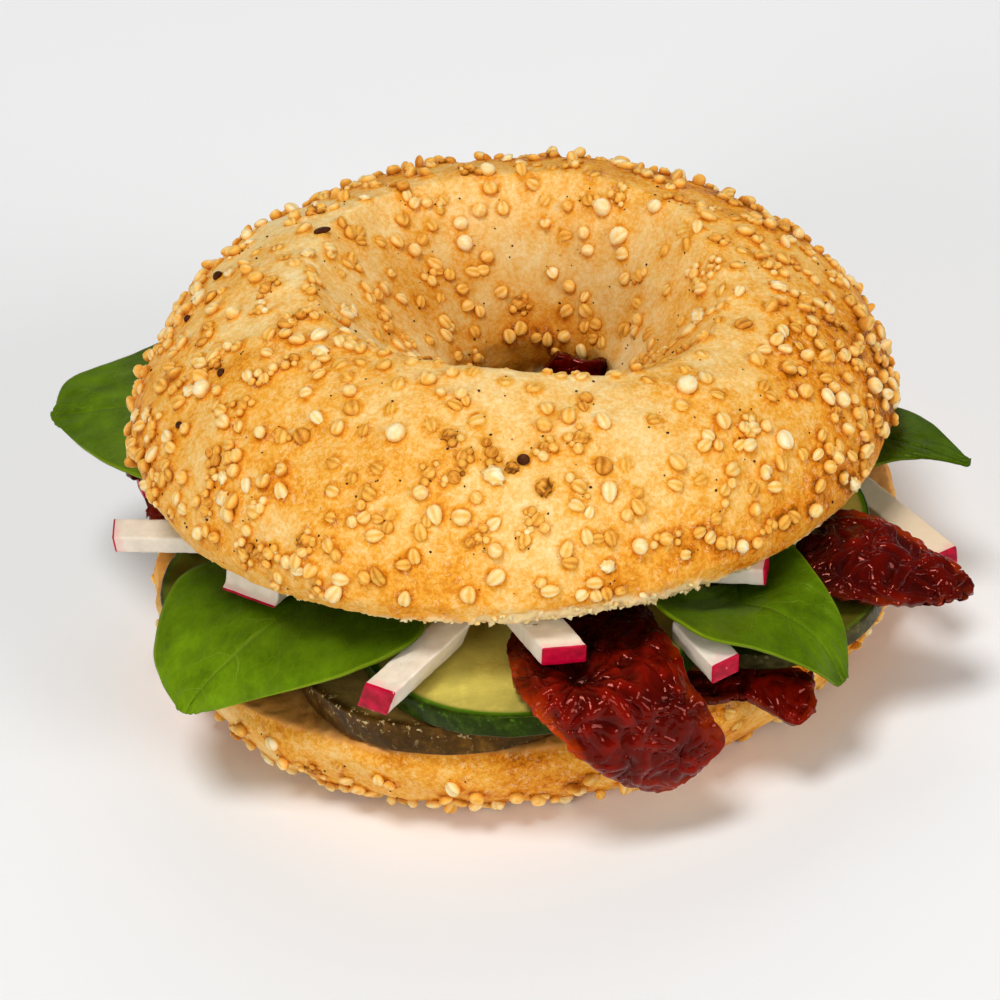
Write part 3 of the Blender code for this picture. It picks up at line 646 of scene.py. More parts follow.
class Half:
    """One half of the bagel while it is being shaped and sown."""

    def __init__(self, runs, spacings, steps, sizes, uneven, pose, crumb_at, bake_and_shade_at, toast):
        self.sizes = sizes
        self.uneven = uneven
        self.pose = pose
        self.crust = spaced(sum(runs[1:-1], []), SEED_LINE_SPACING)
        self.bm = turned([point for run, gap in zip(runs, spacings) for point in spaced(run, gap)], steps)
        crumb, bake, toasted, dull, self.halo = layers(self.bm, "crumb", "bake", "toast", "dull", "halo")
        rise = {}
        for vert in self.bm.verts:
            co = vert.co.copy()
            vert[crumb] = crumb_at(co)
            vert[bake] = bake_and_shade_at(co)
            turn, radius = polar(co)
            # Painted shade inside the funnel and the hole, strongest at the back.
            vert[dull] = smoothstep(27, 16, radius) * (0.15 + 0.85 * smoothstep(-0.1, 0.8, math.sin(turn)))
            vert[toasted] = toast * (0.8 + 0.2 * smoothstep(-0.4, 0.4, lumps(co, 7, 9.0)))
            rise[vert] = self.relief(co, vert[crumb])
            vert.co = pose(uneven(co, sizes))
        self.lift(rise)
        self.tree = BVHTree.FromBMesh(self.bm)
        self.seeds = []

    def lift(self, rise):
        """Moves each vertex along its normal."""
        self.bm.normal_update()
        moved = {vert: vert.co + vert.normal * height for vert, height in rise.items()}
        for vert, co in moved.items():
            vert.co = co
        self.bm.normal_update()

    def relief(self, co, crumb):
        """Soft blisters on the crust, and the torn grain of the crumb."""
        height = 0.34 * lumps(co, 6, 12.0) + 0.16 * lumps(co, 2.6, 13.0) + 0.07 * lumps(co, 1.1, 13.5)
        if crumb > 0.02 and (co.z > 0.05 or co.xy.length < 30):
            near = noise.voronoi(co / 1.25)[0][0]
            torn = 0.95 * (0.42 - near) + 0.35 * lumps(co, 2.4, 15.0)
            height += (torn - height) * crumb
        return height

    def spot(self, share, turn):
        """A place on the finished crust, share of the way along its section."""
        radius, height = self.crust[int(share * (len(self.crust) - 1))]
        flat = on_ring(radius, turn, height)
        return flat, self.tree.find_nearest(self.pose(self.uneven(flat, self.sizes)))

    def raise_dough(self):
        """Lifts the crust a little where it meets the seeds and marks a ring there that the crust's colour
        darkens as painted contact shade.
        """
        near = KDTree(len(self.seeds))
        for k, (spot, _) in enumerate(self.seeds):
            near.insert(spot, k)
        near.balance()
        rise = {}
        for vert in self.bm.verts:
            _, k, distance = near.find(vert.co)
            # The ring round each seed, for the rise of the dough and for painted contact shade.
            vert[self.halo] = 1 - smoothstep(0.0, HALO_WIDTH, distance - self.seeds[k][1] * SEED_REACH)
            rise[vert] = HALO_RISE * vert[self.halo]
        self.lift(rise)


# Seeds

def seed_template(name, size, shape, segments=12, rings=7):
    """A seed lying along X, in millimetres, whose rim layer holds painted shade on its lower side and in
    its grooves and hollows.
    """
    bm = bmesh.new()
    bmesh.ops.create_uvsphere(bm, u_segments=segments, v_segments=rings, radius=0.5)
    bmesh.ops.rotate(bm, matrix=Matrix.Rotation(math.pi / 2, 3, "Y"), verts=bm.verts)
    rim, _ = layers(bm, "rim", "tone")
    for vert in bm.verts:
        co = vert.co
        # Painted shade on the lower side where the seed meets the dough, and below in its groove, ring and
        # hollows.
        vert[rim] = smoothstep(0.42, -0.12, co.z)
        if shape in ("drop", "lobes"):
            if co.z > 0.15 and abs(co.y) < 0.1:
                co.z -= 0.13 if shape == "drop" else 0.21
                vert[rim] = max(vert[rim], 0.7)
            if shape == "drop":
                co.y *= 1 - 0.45 * co.x
            else:
                co.y *= 1.08 + 0.5 * co.y
        elif shape == "ring":
            ridge = hill(co.xy.length - 0.38, 0.08)
            co.z += 0.07 * ridge if co.z > 0 else 0.0
            vert[rim] = max(vert[rim], 0.6 * hill(co.xy.length - 0.26, 0.07))
        elif shape == "burst":
            bump = noise.noise(co * 4.6 + Vector((3, 1, 2)))
            vert[rim] = max(vert[rim], smoothstep(0.05, -0.25, bump))
            vert.co = co * (1 + 0.55 * bump)
        elif shape == "torn":
            vert[rim] *= 0.25
            vert.co = co * (1 + 0.9 * noise.noise(co * 5.5 + Vector((3, 1, 2))))
    bmesh.ops.scale(bm, vec=size, verts=bm.verts)
    return to_mesh(bm, name)


def sow_one(bm, template, spot, normal, turn, size, sink, tone, tip):
    """Adds a copy of a seed to bm, lying on the crust at spot and tipped up a little."""
    height = max(v.co.z for v in template.vertices) * size
    stand = normal.to_track_quat("Z", "Y").to_matrix().to_4x4()
    place = Matrix.Translation(spot + normal * height * (1 - 2 * sink))
    lie = Matrix.Rotation(turn, 4, "Z") @ Matrix.Rotation(tip, 4, "Y")
    seed = template.copy()
    seed.transform(place @ stand @ lie @ Matrix.Scale(size, 4))
    seed.attributes["tone"].data.foreach_set("value", [tone] * len(seed.vertices))
    bm.from_mesh(seed)
    bpy.data.meshes.remove(seed)


class Sower:
    """Strews the seeds of one half, kind by kind, and keeps their groups apart."""

    def __init__(self, half, templates, rng):
        self.half = half
        self.templates = templates
        self.rng = rng
        self.taken = {}
        self.kinds = {}

    def free(self, spot, reach):
        """Whether no other group lies within reach, in which case the place is taken."""
        cx, cy, cz = (int(v // CELL) for v in spot)
        for x in (cx - 1, cx, cx + 1):
            for y in (cy - 1, cy, cy + 1):
                for z in (cz - 1, cz, cz + 1):
                    if any((other - spot).length < reach for other in self.taken.get((x, y, z), ())):
                        return False
        self.taken.setdefault((cx, cy, cz), []).append(spot.copy())
        return True

    def add(self, kind, spot, normal, size, sink, tone, tip=0.2):
        if kind not in self.kinds:
            self.kinds[kind] = bmesh.new()
            layers(self.kinds[kind], "rim", "tone")
        template = self.templates[kind]
        if kind not in ("speck", "crumb"):
            wide = max(v.co.x for v in template.vertices) + max(v.co.y for v in template.vertices)
            self.half.seeds.append((spot, wide * size))
        sow_one(self.kinds[kind], template, spot, normal, self.rng.uniform(0, 2 * math.pi), size, sink,
                min(max(tone, 0.0), 1.0), self.rng.gauss(0, tip))

    def beside(self, spot, normal, distance):
        """A place on the crust at a distance from spot, in any direction."""
        off = on_ring(1.0, self.rng.uniform(0, 2 * math.pi)) * distance
        near, facing, _, _ = self.half.tree.find_nearest(spot + normal.to_track_quat("Z", "Y") @ off)
        return near, facing

    def specks(self, spot, normal, count, low, high):
        for _ in range(count):
            near, facing = self.beside(spot, normal, self.rng.uniform(low, high))
            self.add("speck", near, facing, self.rng.choice((0.6, 0.8, 1.0, 1.0, 1.2, 1.5)), 0.1, 1.0)

    def kind(self):
        return self.rng.choice(("sesame", "sesame", "lobes", "grain"))

    def single(self, spot, normal, proud):
        rng = self.rng
        if rng.random() < 0.5 - 0.4 * proud:
            self.add(self.kind(), spot, normal, rng.uniform(0.75, 1.05), rng.uniform(0.45, 0.66),
                     rng.uniform(0.28, 0.52))
            self.specks(spot, normal, rng.choice((0, 1, 1, 2)), 0.8, 1.3)
        elif rng.random() < 0.06:
            self.add("flake", spot, normal, rng.uniform(0.7, 1.1), 0.3, 0.0)
        else:
            self.add(self.kind(), spot, normal, rng.uniform(0.75, 1.12),
                     rng.uniform(0.12, 0.40) - 0.12 * proud,
                     rng.choice((0.08, 0.18, 0.24, 0.30, 0.38)) + rng.gauss(0, 0.04), 0.25 + 0.35 * proud)
            self.specks(spot, normal, rng.choice((0, 0, 0, 1)), 0.9, 1.5)

    def pair(self, spot, normal, proud):
        rng = self.rng
        tone = rng.uniform(0.18, 0.46)
        for _ in range(rng.choice((2, 2, 3))):
            self.add(self.kind(), spot, normal, rng.uniform(0.7, 1.0),
                     rng.uniform(0.12, 0.45) - 0.12 * proud, tone + rng.gauss(0, 0.07))
            spot, normal = self.beside(spot, normal, rng.uniform(1.5, 2.0))
        self.specks(spot, normal, rng.choice((0, 1, 2)), 0.7, 1.6)

    def heap(self, spot, normal, proud):
        rng = self.rng
        tone = rng.uniform(0.30, 0.60)
        self.add(rng.choice(("burst", "grain", "lobes")), spot, normal, rng.uniform(0.7, 1.0),
                 rng.uniform(0.2, 0.45), tone)
        for _ in range(rng.randint(2, 5)):
            near, facing = self.beside(spot, normal, rng.uniform(0.9, 1.9))
            kind = rng.choice(("bead", "bead", "grain"))
            size = rng.uniform(0.75, 1.3) if kind == "bead" else rng.uniform(0.5, 0.75)
            self.add(kind, near, facing, size, rng.uniform(0.1, 0.45) - 0.12 * proud,
                     tone + rng.gauss(-0.05, 0.1))
        self.specks(spot, normal, rng.randint(1, 5), 0.7, 2.0)


def strew(half, count, low, high, density, proud, templates, rng, shares, placed=()):
    """Sows the placed seeds, then shares of single ones, pairs and heaps, higher where proud is high."""
    sower = Sower(half, templates, rng)
    for kind, turn, share, size, sink, tone in placed:
        _, (spot, normal, _, _) = half.spot(share, math.radians(turn))
        sower.free(spot, 0.0)
        sower.add(kind, spot, normal, size, sink, tone, 0.1)
    sown = 0
    for _ in range(count * TRIES_PER_GROUP):
        if sown == count:
            break
        flat, (spot, normal, _, _) = half.spot(rng.uniform(low, high), rng.uniform(-math.pi, math.pi))
        side = min(proud(flat), 1.0)
        likely = density(flat) * flat.xy.length / FULL_RING
        if rng.random() > likely or not sower.free(spot, 2.7 - 0.8 * side):
            continue
        sown += 1
        group = rng.choices((sower.single, sower.pair, sower.heap), shares)[0]
        group(spot, normal, side)
    for _ in range(count // 4):
        _, (spot, normal, _, _) = half.spot(rng.uniform(low, high), rng.uniform(-math.pi, math.pi))
        sower.specks(spot, normal, 1, 0.0, 0.5)
    return sower


def crumble(sower, count, rng):
    """Loose crumbs along the top half's cut edge, more of them where the bare rim is tall."""
    half = sower.half
    edge = in_mm(half.sizes.top_edge)
    for _ in range(count):
        turn = rng.uniform(-math.pi, math.pi)
        co = on_ring(edge, turn)
        band = rim_band(co)
        height = band * rng.uniform(-0.1, 1.15)
        if rng.random() > band / 2.4:
            continue
        flare = 1 + 0.06 * smoothstep(0, 4, height)
        flat = Vector((co.x * flare, co.y * flare, height))
        spot, normal, _, _ = half.tree.find_nearest(half.pose(half.uneven(flat, half.sizes)))
        sower.add("crumb", spot, normal, rng.choice((0.4, 0.6, 0.8, 1.0)), rng.uniform(0.25, 0.6),
                  rng.uniform(0.06, 0.26), 0.8)


def seed_templates(seeds):
    sesame, grain = in_mm(seeds.sesame_length), in_mm(seeds.grain_width)
    bead, burst, speck = in_mm(seeds.bead_width), in_mm(seeds.burst_width), in_mm(seeds.speck_width)
    return {
        "sesame": seed_template("sesame_seed", (sesame, sesame * 0.72, sesame * 0.56), "drop"),
        "lobes": seed_template("two_lobed_grain", (sesame * 0.9, sesame * 0.74, sesame * 0.6), "lobes"),
        "grain": seed_template("round_grain", (grain, grain * 0.94, grain * 0.82), "ring"),
        "burst": seed_template("burst_grain", (burst, burst * 0.85, burst * 0.62), "burst", 12, 8),
        "flake": seed_template("pale_flake", (burst * 1.1, burst * 0.85, burst * 0.5), "burst", 12, 8),
        "dark": seed_template("dark_seed", (1.75, 1.55, 1.4), "plain"),
        "long_dark": seed_template("long_dark_seed", (2.6, 1.1, 0.95), "drop"),
        "bead": seed_template("bead", (bead, bead, bead * 0.9), "plain", 8, 5),
        "crumb": seed_template("loose_crumb", (bead, bead * 0.8, bead * 0.7), "torn", 8, 6),
        "speck": seed_template("speck", (speck * 1.3, speck, speck * 0.7), "plain", 6, 4),
    }


# kind, turn in degrees, share of the way along the crust's section, size, depth in the dough, tone
STANDOUT_SEEDS = (
    ("long_dark", 154, 0.54, 1.0, 0.10, 1.0), ("dark", -92, 0.30, 1.0, 0.20, 1.0),
    ("dark", 166, 0.34, 0.9, 0.25, 1.0), ("dark", 175, 0.27, 0.7, 0.25, 1.0),
    ("dark", -159, 0.31, 0.8, 0.35, 1.0), ("dark", -159, 0.18, 0.7, 0.35, 1.0),
    ("grain", -159, 0.26, 1.35, 0.25, 0.0), ("grain", -115, 0.35, 1.35, 0.30, 0.02),
    ("grain", -56, 0.42, 1.40, 0.30, 0.0), ("grain", 52, 0.60, 1.35, 0.30, 0.02),
    ("grain", 106, 0.69, 1.20, 0.25, 0.03), ("lobes", 43, 0.65, 1.30, 0.25, 0.08),
    ("grain", 34, 0.56, 1.05, 0.25, 0.02), ("flake", -97, 0.27, 1.15, 0.25, 0.0),
    ("lobes", -46, 0.18, 1.20, 0.30, 0.0), ("lobes", -133, 0.28, 1.10, 0.35, 0.62),
    ("lobes", -126, 0.38, 1.10, 0.45, 0.50), ("lobes", -79, 0.27, 1.15, 0.35, 0.62),
    ("burst", -89, 0.24, 1.00, 0.35, 0.60), ("burst", -94, 0.28, 0.80, 0.35, 0.66),
    ("lobes", -29, 0.48, 1.10, 0.35, 0.62), ("lobes", -40, 0.59, 1.10, 0.40, 0.58),
    ("sesame", -120, 0.02, 1.15, 0.05, 0.12), ("sesame", -97, 0.07, 1.10, 0.25, 0.14),
    ("sesame", -119, 0.05, 1.00, 0.20, 0.16), ("grain", -76, 0.09, 1.10, 0.20, 0.06),
    ("sesame", -106, 0.19, 1.10, 0.25, 0.16), ("lobes", -102, 0.19, 1.10, 0.30, 0.22),
    ("sesame", -79, 0.21, 1.10, 0.25, 0.10), ("sesame", -22, 0.04, 1.10, 0.15, 0.16),
    ("grain", -30, 0.17, 1.15, 0.20, 0.10), ("grain", -20, 0.13, 1.20, 0.15, 0.08),
    ("sesame", -84, 0.55, 0.75, 0.20, 0.22), ("grain", -80, 0.56, 0.70, 0.30, 0.36),
    ("lobes", -77, 0.55, 0.60, 0.15, 0.24), ("grain", -74, 0.56, 0.65, 0.35, 0.32),
    ("sesame", -76, 0.53, 0.75, 0.30, 0.20), ("sesame", -67, 0.54, 0.70, 0.40, 0.30),
    ("grain", -61, 0.55, 0.80, 0.10, 0.34), ("sesame", -81, 0.53, 0.70, 0.35, 0.26),
)


def top_density(co):
    """How likely a seed is to stay where it falls on the top half."""
    patches = 0.40 + 0.8 * smoothstep(-0.25, 0.35, lumps(co, 10, 51.0))
    sides = 0.8 + 0.5 * smoothstep(0.6, 1.0, abs(co.x) / 50)
    sides -= 0.7 * smoothstep(40, 47, co.x) * smoothstep(9, 13, co.z)
    return patches * sides * smoothstep(3.2, 5.0, co.z)


def top_proud(co):
    return smoothstep(0.35, 0.85, abs(co.x) / 50) + smoothstep(0.2, 0.7, co.y / 50)


def bottom_density(co):
    patches = 0.4 + 0.8 * smoothstep(-0.25, 0.35, lumps(co, 9, 52.0))
    sides = 1 + smoothstep(4.0, 2.0, co.z) + smoothstep(-32, -44, co.x)
    return patches * sides * smoothstep(0.6, 1.6, co.z) * smoothstep(13.2, 11.5, co.z)


def bottom_proud(co):
    return 1.0 - 0.6 * smoothstep(6.0, 10.0, co.z)


def finish_half(half, sower, name, crust, pale, dark):
    half.raise_dough()
    finish_seeds(sower, name, pale, dark)
    seal(half.bm, f"bagel_{name}_crust", crust, "crust", f"bagel_{name}")


def finish_seeds(sower, half_name, pale, dark):
    names = {"sesame": "sesame", "lobes": "two_lobed_grains", "grain": "grains", "burst": "burst_grains",
             "flake": "flakes", "bead": "beads", "crumb": "crumbs", "speck": "dark_specks",
             "dark": "dark_seeds", "long_dark": "long_dark_seeds"}
    for kind, bm in sower.kinds.items():
        material = dark if kind in ("speck", "dark", "long_dark") else pale
        seal(bm, f"{names[kind]}_{half_name}", material, "crust")


# Slices, sticks, leaves and tomatoes

def slice_section(radius, low, high, round_off):
    """Half section of a slice, from the middle of its underside round the edge to the middle of its top."""
    steps = 5
    rings = 14
    lower = [(radius * k / rings, low) for k in range(rings)]
    rim = []
    for side, centre in ((-1, low + round_off), (1, high - round_off)):
        arc = [(radius - round_off + round_off * math.cos(k / steps * math.pi / 2),
                centre + side * round_off * math.sin(k / steps * math.pi / 2)) for k in range(steps + 1)]
        rim += arc[::-1] if side < 0 else arc
    upper = [(radius * k / rings, high) for k in reversed(range(rings))]
    return lower + rim + upper


def vegetable_slice(node, material, slot, keep=0):
    """A slice in the place of a node; keep 1 or -1 leaves the part on that side of a straight cut."""
    low, high = (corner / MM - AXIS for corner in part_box(node))
    radius = (high.y - low.y) / 2
    centre = Vector((high.x - radius if keep > 0 else low.x + radius, (low.y + high.y) / 2, 0))
    bm = turned(slice_section(radius, low.z, high.z, 0.45), SLICE_STEPS, ring=False)
    bmesh.ops.translate(bm, vec=centre, verts=bm.verts)
    if keep:
        cut_x = low.x if keep > 0 else high.x
        cut = bmesh.ops.bisect_plane(bm, geom=parts(bm), dist=1e-4, plane_co=(cut_x, 0, 0),
                                     plane_no=(keep, 0, 0), clear_inner=True)
        bmesh.ops.edgeloop_fill(bm, edges=[e for e in cut["geom_cut"] if isinstance(e, bmesh.types.BMEdge)])
    skin, top = layers(bm, "skin", "high")
    for vert in bm.verts:
        reach = (vert.co.xy - centre.xy).length / radius
        share = (vert.co.z - low.z) / (high.z - low.z)
        vert[top] = share
        vert[skin] = smoothstep(0.972, 0.984, reach)
        sway = 0.22 * lumps(vert.co, 8, 21.0) + 0.10 * lumps(vert.co, 2.5, 22.0)
        inside = 1 - smoothstep(0.93, 1.0, reach)
        vert.co.z += (-abs(sway) if share > 0.5 else abs(sway)) * inside
        grow = 1 + 0.006 * lumps(vert.co, 5, 23.0) - 0.006 * abs(lumps(vert.co, 1.3, 24.0))
        vert.co.xy = centre.xy + (vert.co.xy - centre.xy) * grow
    chart(bm, "slice_map", lambda vert: (vert.co.xy - centre.xy) / (2 * radius) + Vector((0.5, 0.5)))
    seal(bm, node + "_slice", material, slot, node)


STICKS = {
    # inner and outer end of the axis, width, height, lean, slant, how far the outer end is drawn back
    "radish_left": ((-28.2, -16.4, 28.2), (-56.6, -7.7, 28.2), 4.6, 2.6, 0.0, -1.2, 0.0),
    "radish_left_back": ((-30.0, 12.0, 27.2), (-53.3, 5.4, 27.2), 3.4, 2.6, 0.0, 0.0, 0.0),
    "radish_left_front": ((-29.1, -19.9, 31.0), (-38.1, -29.9, 30.8), 9.4, 2.8, 0.0, 0.0, 1.8),
    "radish_front_left": ((-11.4, -39.2, 26.05), (-22.4, -52.0, 26.05), 4.9, 4.5, 0.5, 0.0, 0.0),
    "radish_front": ((-2.0, -40.2, 28.9), (2.7, -52.6, 28.8), 5.2, 2.6, 0.2, 2.6, 0.0),
    "radish_front_right": ((18.95, -44.9, 25.2), (23.1, -53.3, 23.2), 4.2, 3.3, 0.0, 0.0, 0.0),
    "radish_under_rim": ((14.0, -34.4, 28.8), (31.0, -39.0, 27.9), 4.4, 2.6, 0.0, 0.0, 0.0),
    "radish_right": ((44.0, 0.5, 16.3), (56.2, -27.3, 16.3), 4.2, 2.8, 0.0, 0.0, 0.0),
    "radish_back": ((-12.0, 36.0, 25.9), (-19.0, 56.0, 25.9), 4.6, 4.1, 0.0, 0.0, 0.0),
    "radish_back_left": ((-20.0, 30.0, 25.9), (-39.0, 47.5, 25.9), 4.4, 4.1, 0.0, 0.0, 0.0),
}
# Share of painted warm light over the whole of each stick.
STICK_WARM_LIGHT = {"radish_right": 0.8}


def radish_stick(node, material, aged, inner, outer, width, height, lean, slant, drawn):
    """A stick with soft edges and uneven cut faces, from its hidden end to the end with the rind."""
    inner, outer = Vector(inner), Vector(outer)
    run = (outer - inner).length
    forward = (outer - inner) / run
    sideways = UP.cross(forward).normalized()
    upright = forward.cross(sideways)
    bm = bmesh.new()
    bmesh.ops.create_cube(bm, size=1.0)
    bmesh.ops.scale(bm, vec=(run, width, height), verts=bm.verts)
    bmesh.ops.bevel(bm, geom=bm.edges[:], offset=0.2, segments=2, profile=0.5, affect="EDGES", material=-1)
    for axis, size in enumerate((run, width, height)):
        reach = size / 2 - 0.25
        cuts = round(2 * reach / STICK_SPACING)
        facing = Vector([float(k == axis) for k in range(3)])
        for k in range(1, cuts):
            bmesh.ops.bisect_plane(bm, geom=parts(bm), dist=1e-4, plane_no=facing,
                                   plane_co=facing * (2 * reach * k / cuts - reach))
    rind, warm_light = layers(bm, "rind", "aged")
    for vert in bm.verts:
        co = vert.co
        # Painted warm light over the whole stick.
        vert[warm_light] = aged
        depth = run / 2 - co.x
        share = smoothstep(-0.5, -0.2, co.z / height)
        lower = smoothstep(-0.22, -0.32, co.z / height) if drawn else 1.0
        vert[rind] = (1 - min(depth / 6.0, 1.0)) * (0.5 + 0.5 * lower)
        slack = 0.10 * lumps(co + inner, 3.0, 31.0) + 0.05 * lumps(co + inner, 1.0, 32.0)
        co.y *= 1 - 2 * abs(slack) / width
        co.z *= 1 - 2 * abs(slack) / height
        co.x -= drawn * share * (0.4 + 0.6 * (co.z / height + 0.5)) * smoothstep(3.0, 0.0, depth)
        if co.x > 0:
            co.x += slant * co.y / width
        co.y += lean * co.z
    turn = Matrix((forward, sideways, upright)).transposed().to_4x4()
    bmesh.ops.transform(bm, matrix=Matrix.Translation((inner + outer) / 2) @ turn, verts=bm.verts)
    bmesh.ops.recalc_face_normals(bm, faces=bm.faces)
    seal(bm, node + "_stick", material, "radish", node)


def sheet(left, rib, right, grid, chart_name):
    """A sheet between three curves, whose UV map says how far along and across each point is."""
    bm = bmesh.new()
    bmesh.ops.create_grid(bm, x_segments=grid[0], y_segments=grid[1], size=1.0)
    shares = {vert.index: ((vert.co.x + 1) / 2, vert.co.y) for vert in bm.verts}
    chart(bm, chart_name, lambda vert: ((vert.co.x + 1) / 2, (vert.co.y + 1) / 2))
    for vert in bm.verts:
        s, t = shares[vert.index]
        a, b, c = along(left, s), along(rib, s), along(right, s)
        vert.co = a * (t * (t - 1) / 2) + b * (1 - t * t) + c * (t * (t + 1) / 2)
    bmesh.ops.recalc_face_normals(bm, faces=bm.faces)
    if sum(face.normal.z for face in bm.faces) < 0:
        bmesh.ops.reverse_faces(bm, faces=bm.faces)
    bm.normal_update()
    return bm, shares


def thicken(piece, millimetres):
    wall = piece.modifiers.new("thickness", "SOLIDIFY")
    wall.thickness = millimetres * MM
    wall.offset = 0.0
    wall.use_even_offset = False


def salad_leaf(node, material, left, rib, right, leaf_shade):
    """A blade with soft quilting between its veins, with painted shade towards its hidden end under the
    bread and, for some leaves, over the whole blade.
    """
    bm, shares = sheet(left, rib, right, LEAF_GRID, "leaf_map")
    [deep] = layers(bm, "deep")
    for vert in bm.verts:
        s, t = shares[vert.index]
        # Painted shade under the bread, and over the whole leaf where it lies in shade.
        vert[deep] = max(leaf_shade, smoothstep(0.68, 0.25, s))
        swept = s - 0.30 * abs(t) ** 1.25
        pucker = math.sin(math.pi * 6.0 * swept) ** 2 * smoothstep(0.05, 0.4, abs(t))
        pucker *= 1 - smoothstep(0.8, 1.0, abs(t))
        rise = 0.15 * (pucker - 0.4) - 0.2 * (1 - smoothstep(0.0, 0.08, abs(t)))
        rise += 0.35 * lumps(vert.co, 9, 41.0) + 0.16 * lumps(vert.co, 3.2, 42.0)
        vert.co += vert.normal * rise * smoothstep(0.0, 0.12, s)
    piece = seal(bm, node + "_blade", material, "leaf", node)
    thicken(piece, LEAF_THICKNESS)


def crease(place, size, offset):
    """Sharp ridges between cells about size millimetres wide."""
    near = noise.voronoi(place / size + Vector((offset, offset, offset)))[0]
    return hill(near[1] - near[0], 0.16)


def dried_tomato(node, material, left, rib, right, offset, thick, wrinkle, glow, dimple):
    """A wrinkled piece of dried tomato, pleated round a dimple where it has one."""
    bm, shares = sheet(left, rib, right, TOMATO_GRID, "skin_map")
    fold, thin, deep = layers(bm, "fold", "thin", "deep")
    centre = sum((vert.co for vert in bm.verts), Vector()) / len(bm.verts)
    for vert in bm.verts:
        s, t = shares[vert.index]
        co = vert.co.copy()
        warp = co + Vector((lumps(co, 5, offset), lumps(co, 5, offset + 5), lumps(co, 5, offset + 7))) * 2.4
        broad = lumps(warp, 9.0, offset + 1)
        folds = 0.5 * crease(warp, 6.0, offset + 2) + 0.3 * crease(warp, 2.7, offset + 3)
        height = 0.9 * broad + wrinkle * folds
        height += 0.12 * lumps(co, 1.6, offset + 4)
        if dimple:
            off = co - Vector(dimple)
            round_it = math.atan2(off.y + off.z, off.x) + 0.25 * lumps(co, 6, offset + 6)
            pleat = 1 - abs(math.sin(6.5 * round_it)) ** 0.6
            height += 0.75 * pleat * smoothstep(1.0, 4.0, off.length) * smoothstep(14, 6, off.length)
            height -= 1.3 * hill(off.length, 1.8)
        brim = max(abs(t), 2 * s - 1)
        # Painted shade from the fold height: low in the folds, high on the ridges.
        vert[fold] = min(max(0.42 + 0.45 * height / wrinkle ** 1.5, 0.0), 1.0)
        # Painted glow of light through the thin edges, stronger on the left edge.
        vert[thin] = glow * smoothstep(0.70, 0.99, brim) * (1.0 if t < 0 else 0.55)
        # Painted shade towards the inner end, under the bread.
        vert[deep] = smoothstep(0.45, 0.15, s)
        vert.co += vert.normal * (height - 0.6) * 0.7 * (1 - 0.6 * smoothstep(0.75, 1.0, brim))
        ragged = wrinkle * (0.6 * lumps(co, 3.5, offset + 4) + 0.25 * lumps(co, 1.2, offset + 8)) - 0.4
        vert.co += (co - centre).normalized() * ragged * smoothstep(0.72, 1.0, brim)
    piece = seal(bm, node + "_flesh", material, "dried_tomato", node)
    thicken(piece, thick)


LEAF_CURVES = {
    "leaf_back_left": (
        [(-34, 21, 31.2), (-45.6, 36.8, 31.2), (-55.4, 33.0, 32.0), (-63.1, 30.9, 31.1),
         (-65.4, 25.3, 30.0)],
        [(-34, 19, 31.2), (-47.0, 18.5, 31.9), (-57.5, 20.0, 32.0), (-66.0, 23.5, 30.0)],
        [(-34, 17, 31.2), (-46.5, -0.5, 31.9), (-57.0, 5.0, 32.0), (-65.0, 20.6, 30.1)]),
    "leaf_front_left": (
        [(-22, -21, 28.8), (-38.0, -18.5, 28.9), (-47.6, -18.9, 27.0), (-51.9, -26.6, 22.5),
         (-51.6, -32.4, 20.3), (-49.6, -37.3, 18.7)],
        [(-21, -24, 28.8), (-31.0, -31.2, 28.6), (-37.6, -34.9, 26.8), (-45.2, -37.3, 22.0),
         (-48.6, -38.3, 18.4)],
        [(-20, -27, 28.8), (-14.8, -43.4, 30.2), (-25.4, -47.8, 27.9), (-40.8, -41.1, 20.8),
         (-46.9, -38.8, 18.6)]),
    "leaf_front_right": (
        [(25.5, -37, 24.9), (20.6, -41.1, 27.8), (15.0, -44.8, 30.1), (20.3, -52.5, 28.9),
         (27.7, -53.1, 25.4), (34.6, -52.3, 19.8), (37.4, -51.4, 16.3)],
        [(27, -36, 24.8), (27.0, -42.0, 25.3), (30.8, -45.4, 25.5), (35.4, -47.7, 22.0),
         (38.1, -50.7, 16.0)],
        [(28, -35, 24.9), (33.6, -32.0, 27.6), (37.6, -40.5, 25.9), (39.8, -44.6, 20.6),
         (39.0, -49.6, 16.2)]),
    "leaf_back_right": (
        [(34, 3, 25.4), (46.5, 3.5, 25.1), (56.7, -4.6, 25.5), (62.2, -15.6, 24.2)],
        [(34, 0, 25.4), (48.0, -6.5, 25.0), (54.5, -11.5, 25.7), (62.3, -16.2, 24.0)],
        [(34, -3, 25.4), (43.0, -14.8, 25.3), (52.0, -14.6, 25.3), (57.1, -15.0, 24.8),
         (61.8, -16.6, 24.0)]),
    "leaf_front_inner": (
        [(-8, -30, 30.9), (-6.0, -41.0, 31.5), (0.0, -45.6, 31.5)],
        [(0, -30, 30.8), (1.0, -40.0, 31.3), (3.0, -46.6, 31.2)],
        [(8, -30, 30.5), (9.0, -40.0, 30.8), (5.0, -45.8, 31.1)]),
    "leaf_back": (
        [(-1, 26, 25.0), (-8.0, 40.0, 25.2), (-8.0, 52.0, 25.0), (-1.0, 59.6, 20.4)],
        [(1, 26, 25.0), (1.0, 40.0, 24.8), (1.0, 53.5, 24.6), (0.5, 60.0, 20.2)],
        [(3, 26, 25.0), (9.0, 40.0, 25.0), (9.5, 51.0, 24.9), (2.0, 59.6, 20.4)]),
}
# Share of painted shade over the whole of each leaf.
LEAF_SHADES = {"leaf_back_left": 0.35, "leaf_front_right": 0.42, "leaf_back_right": 0.85}

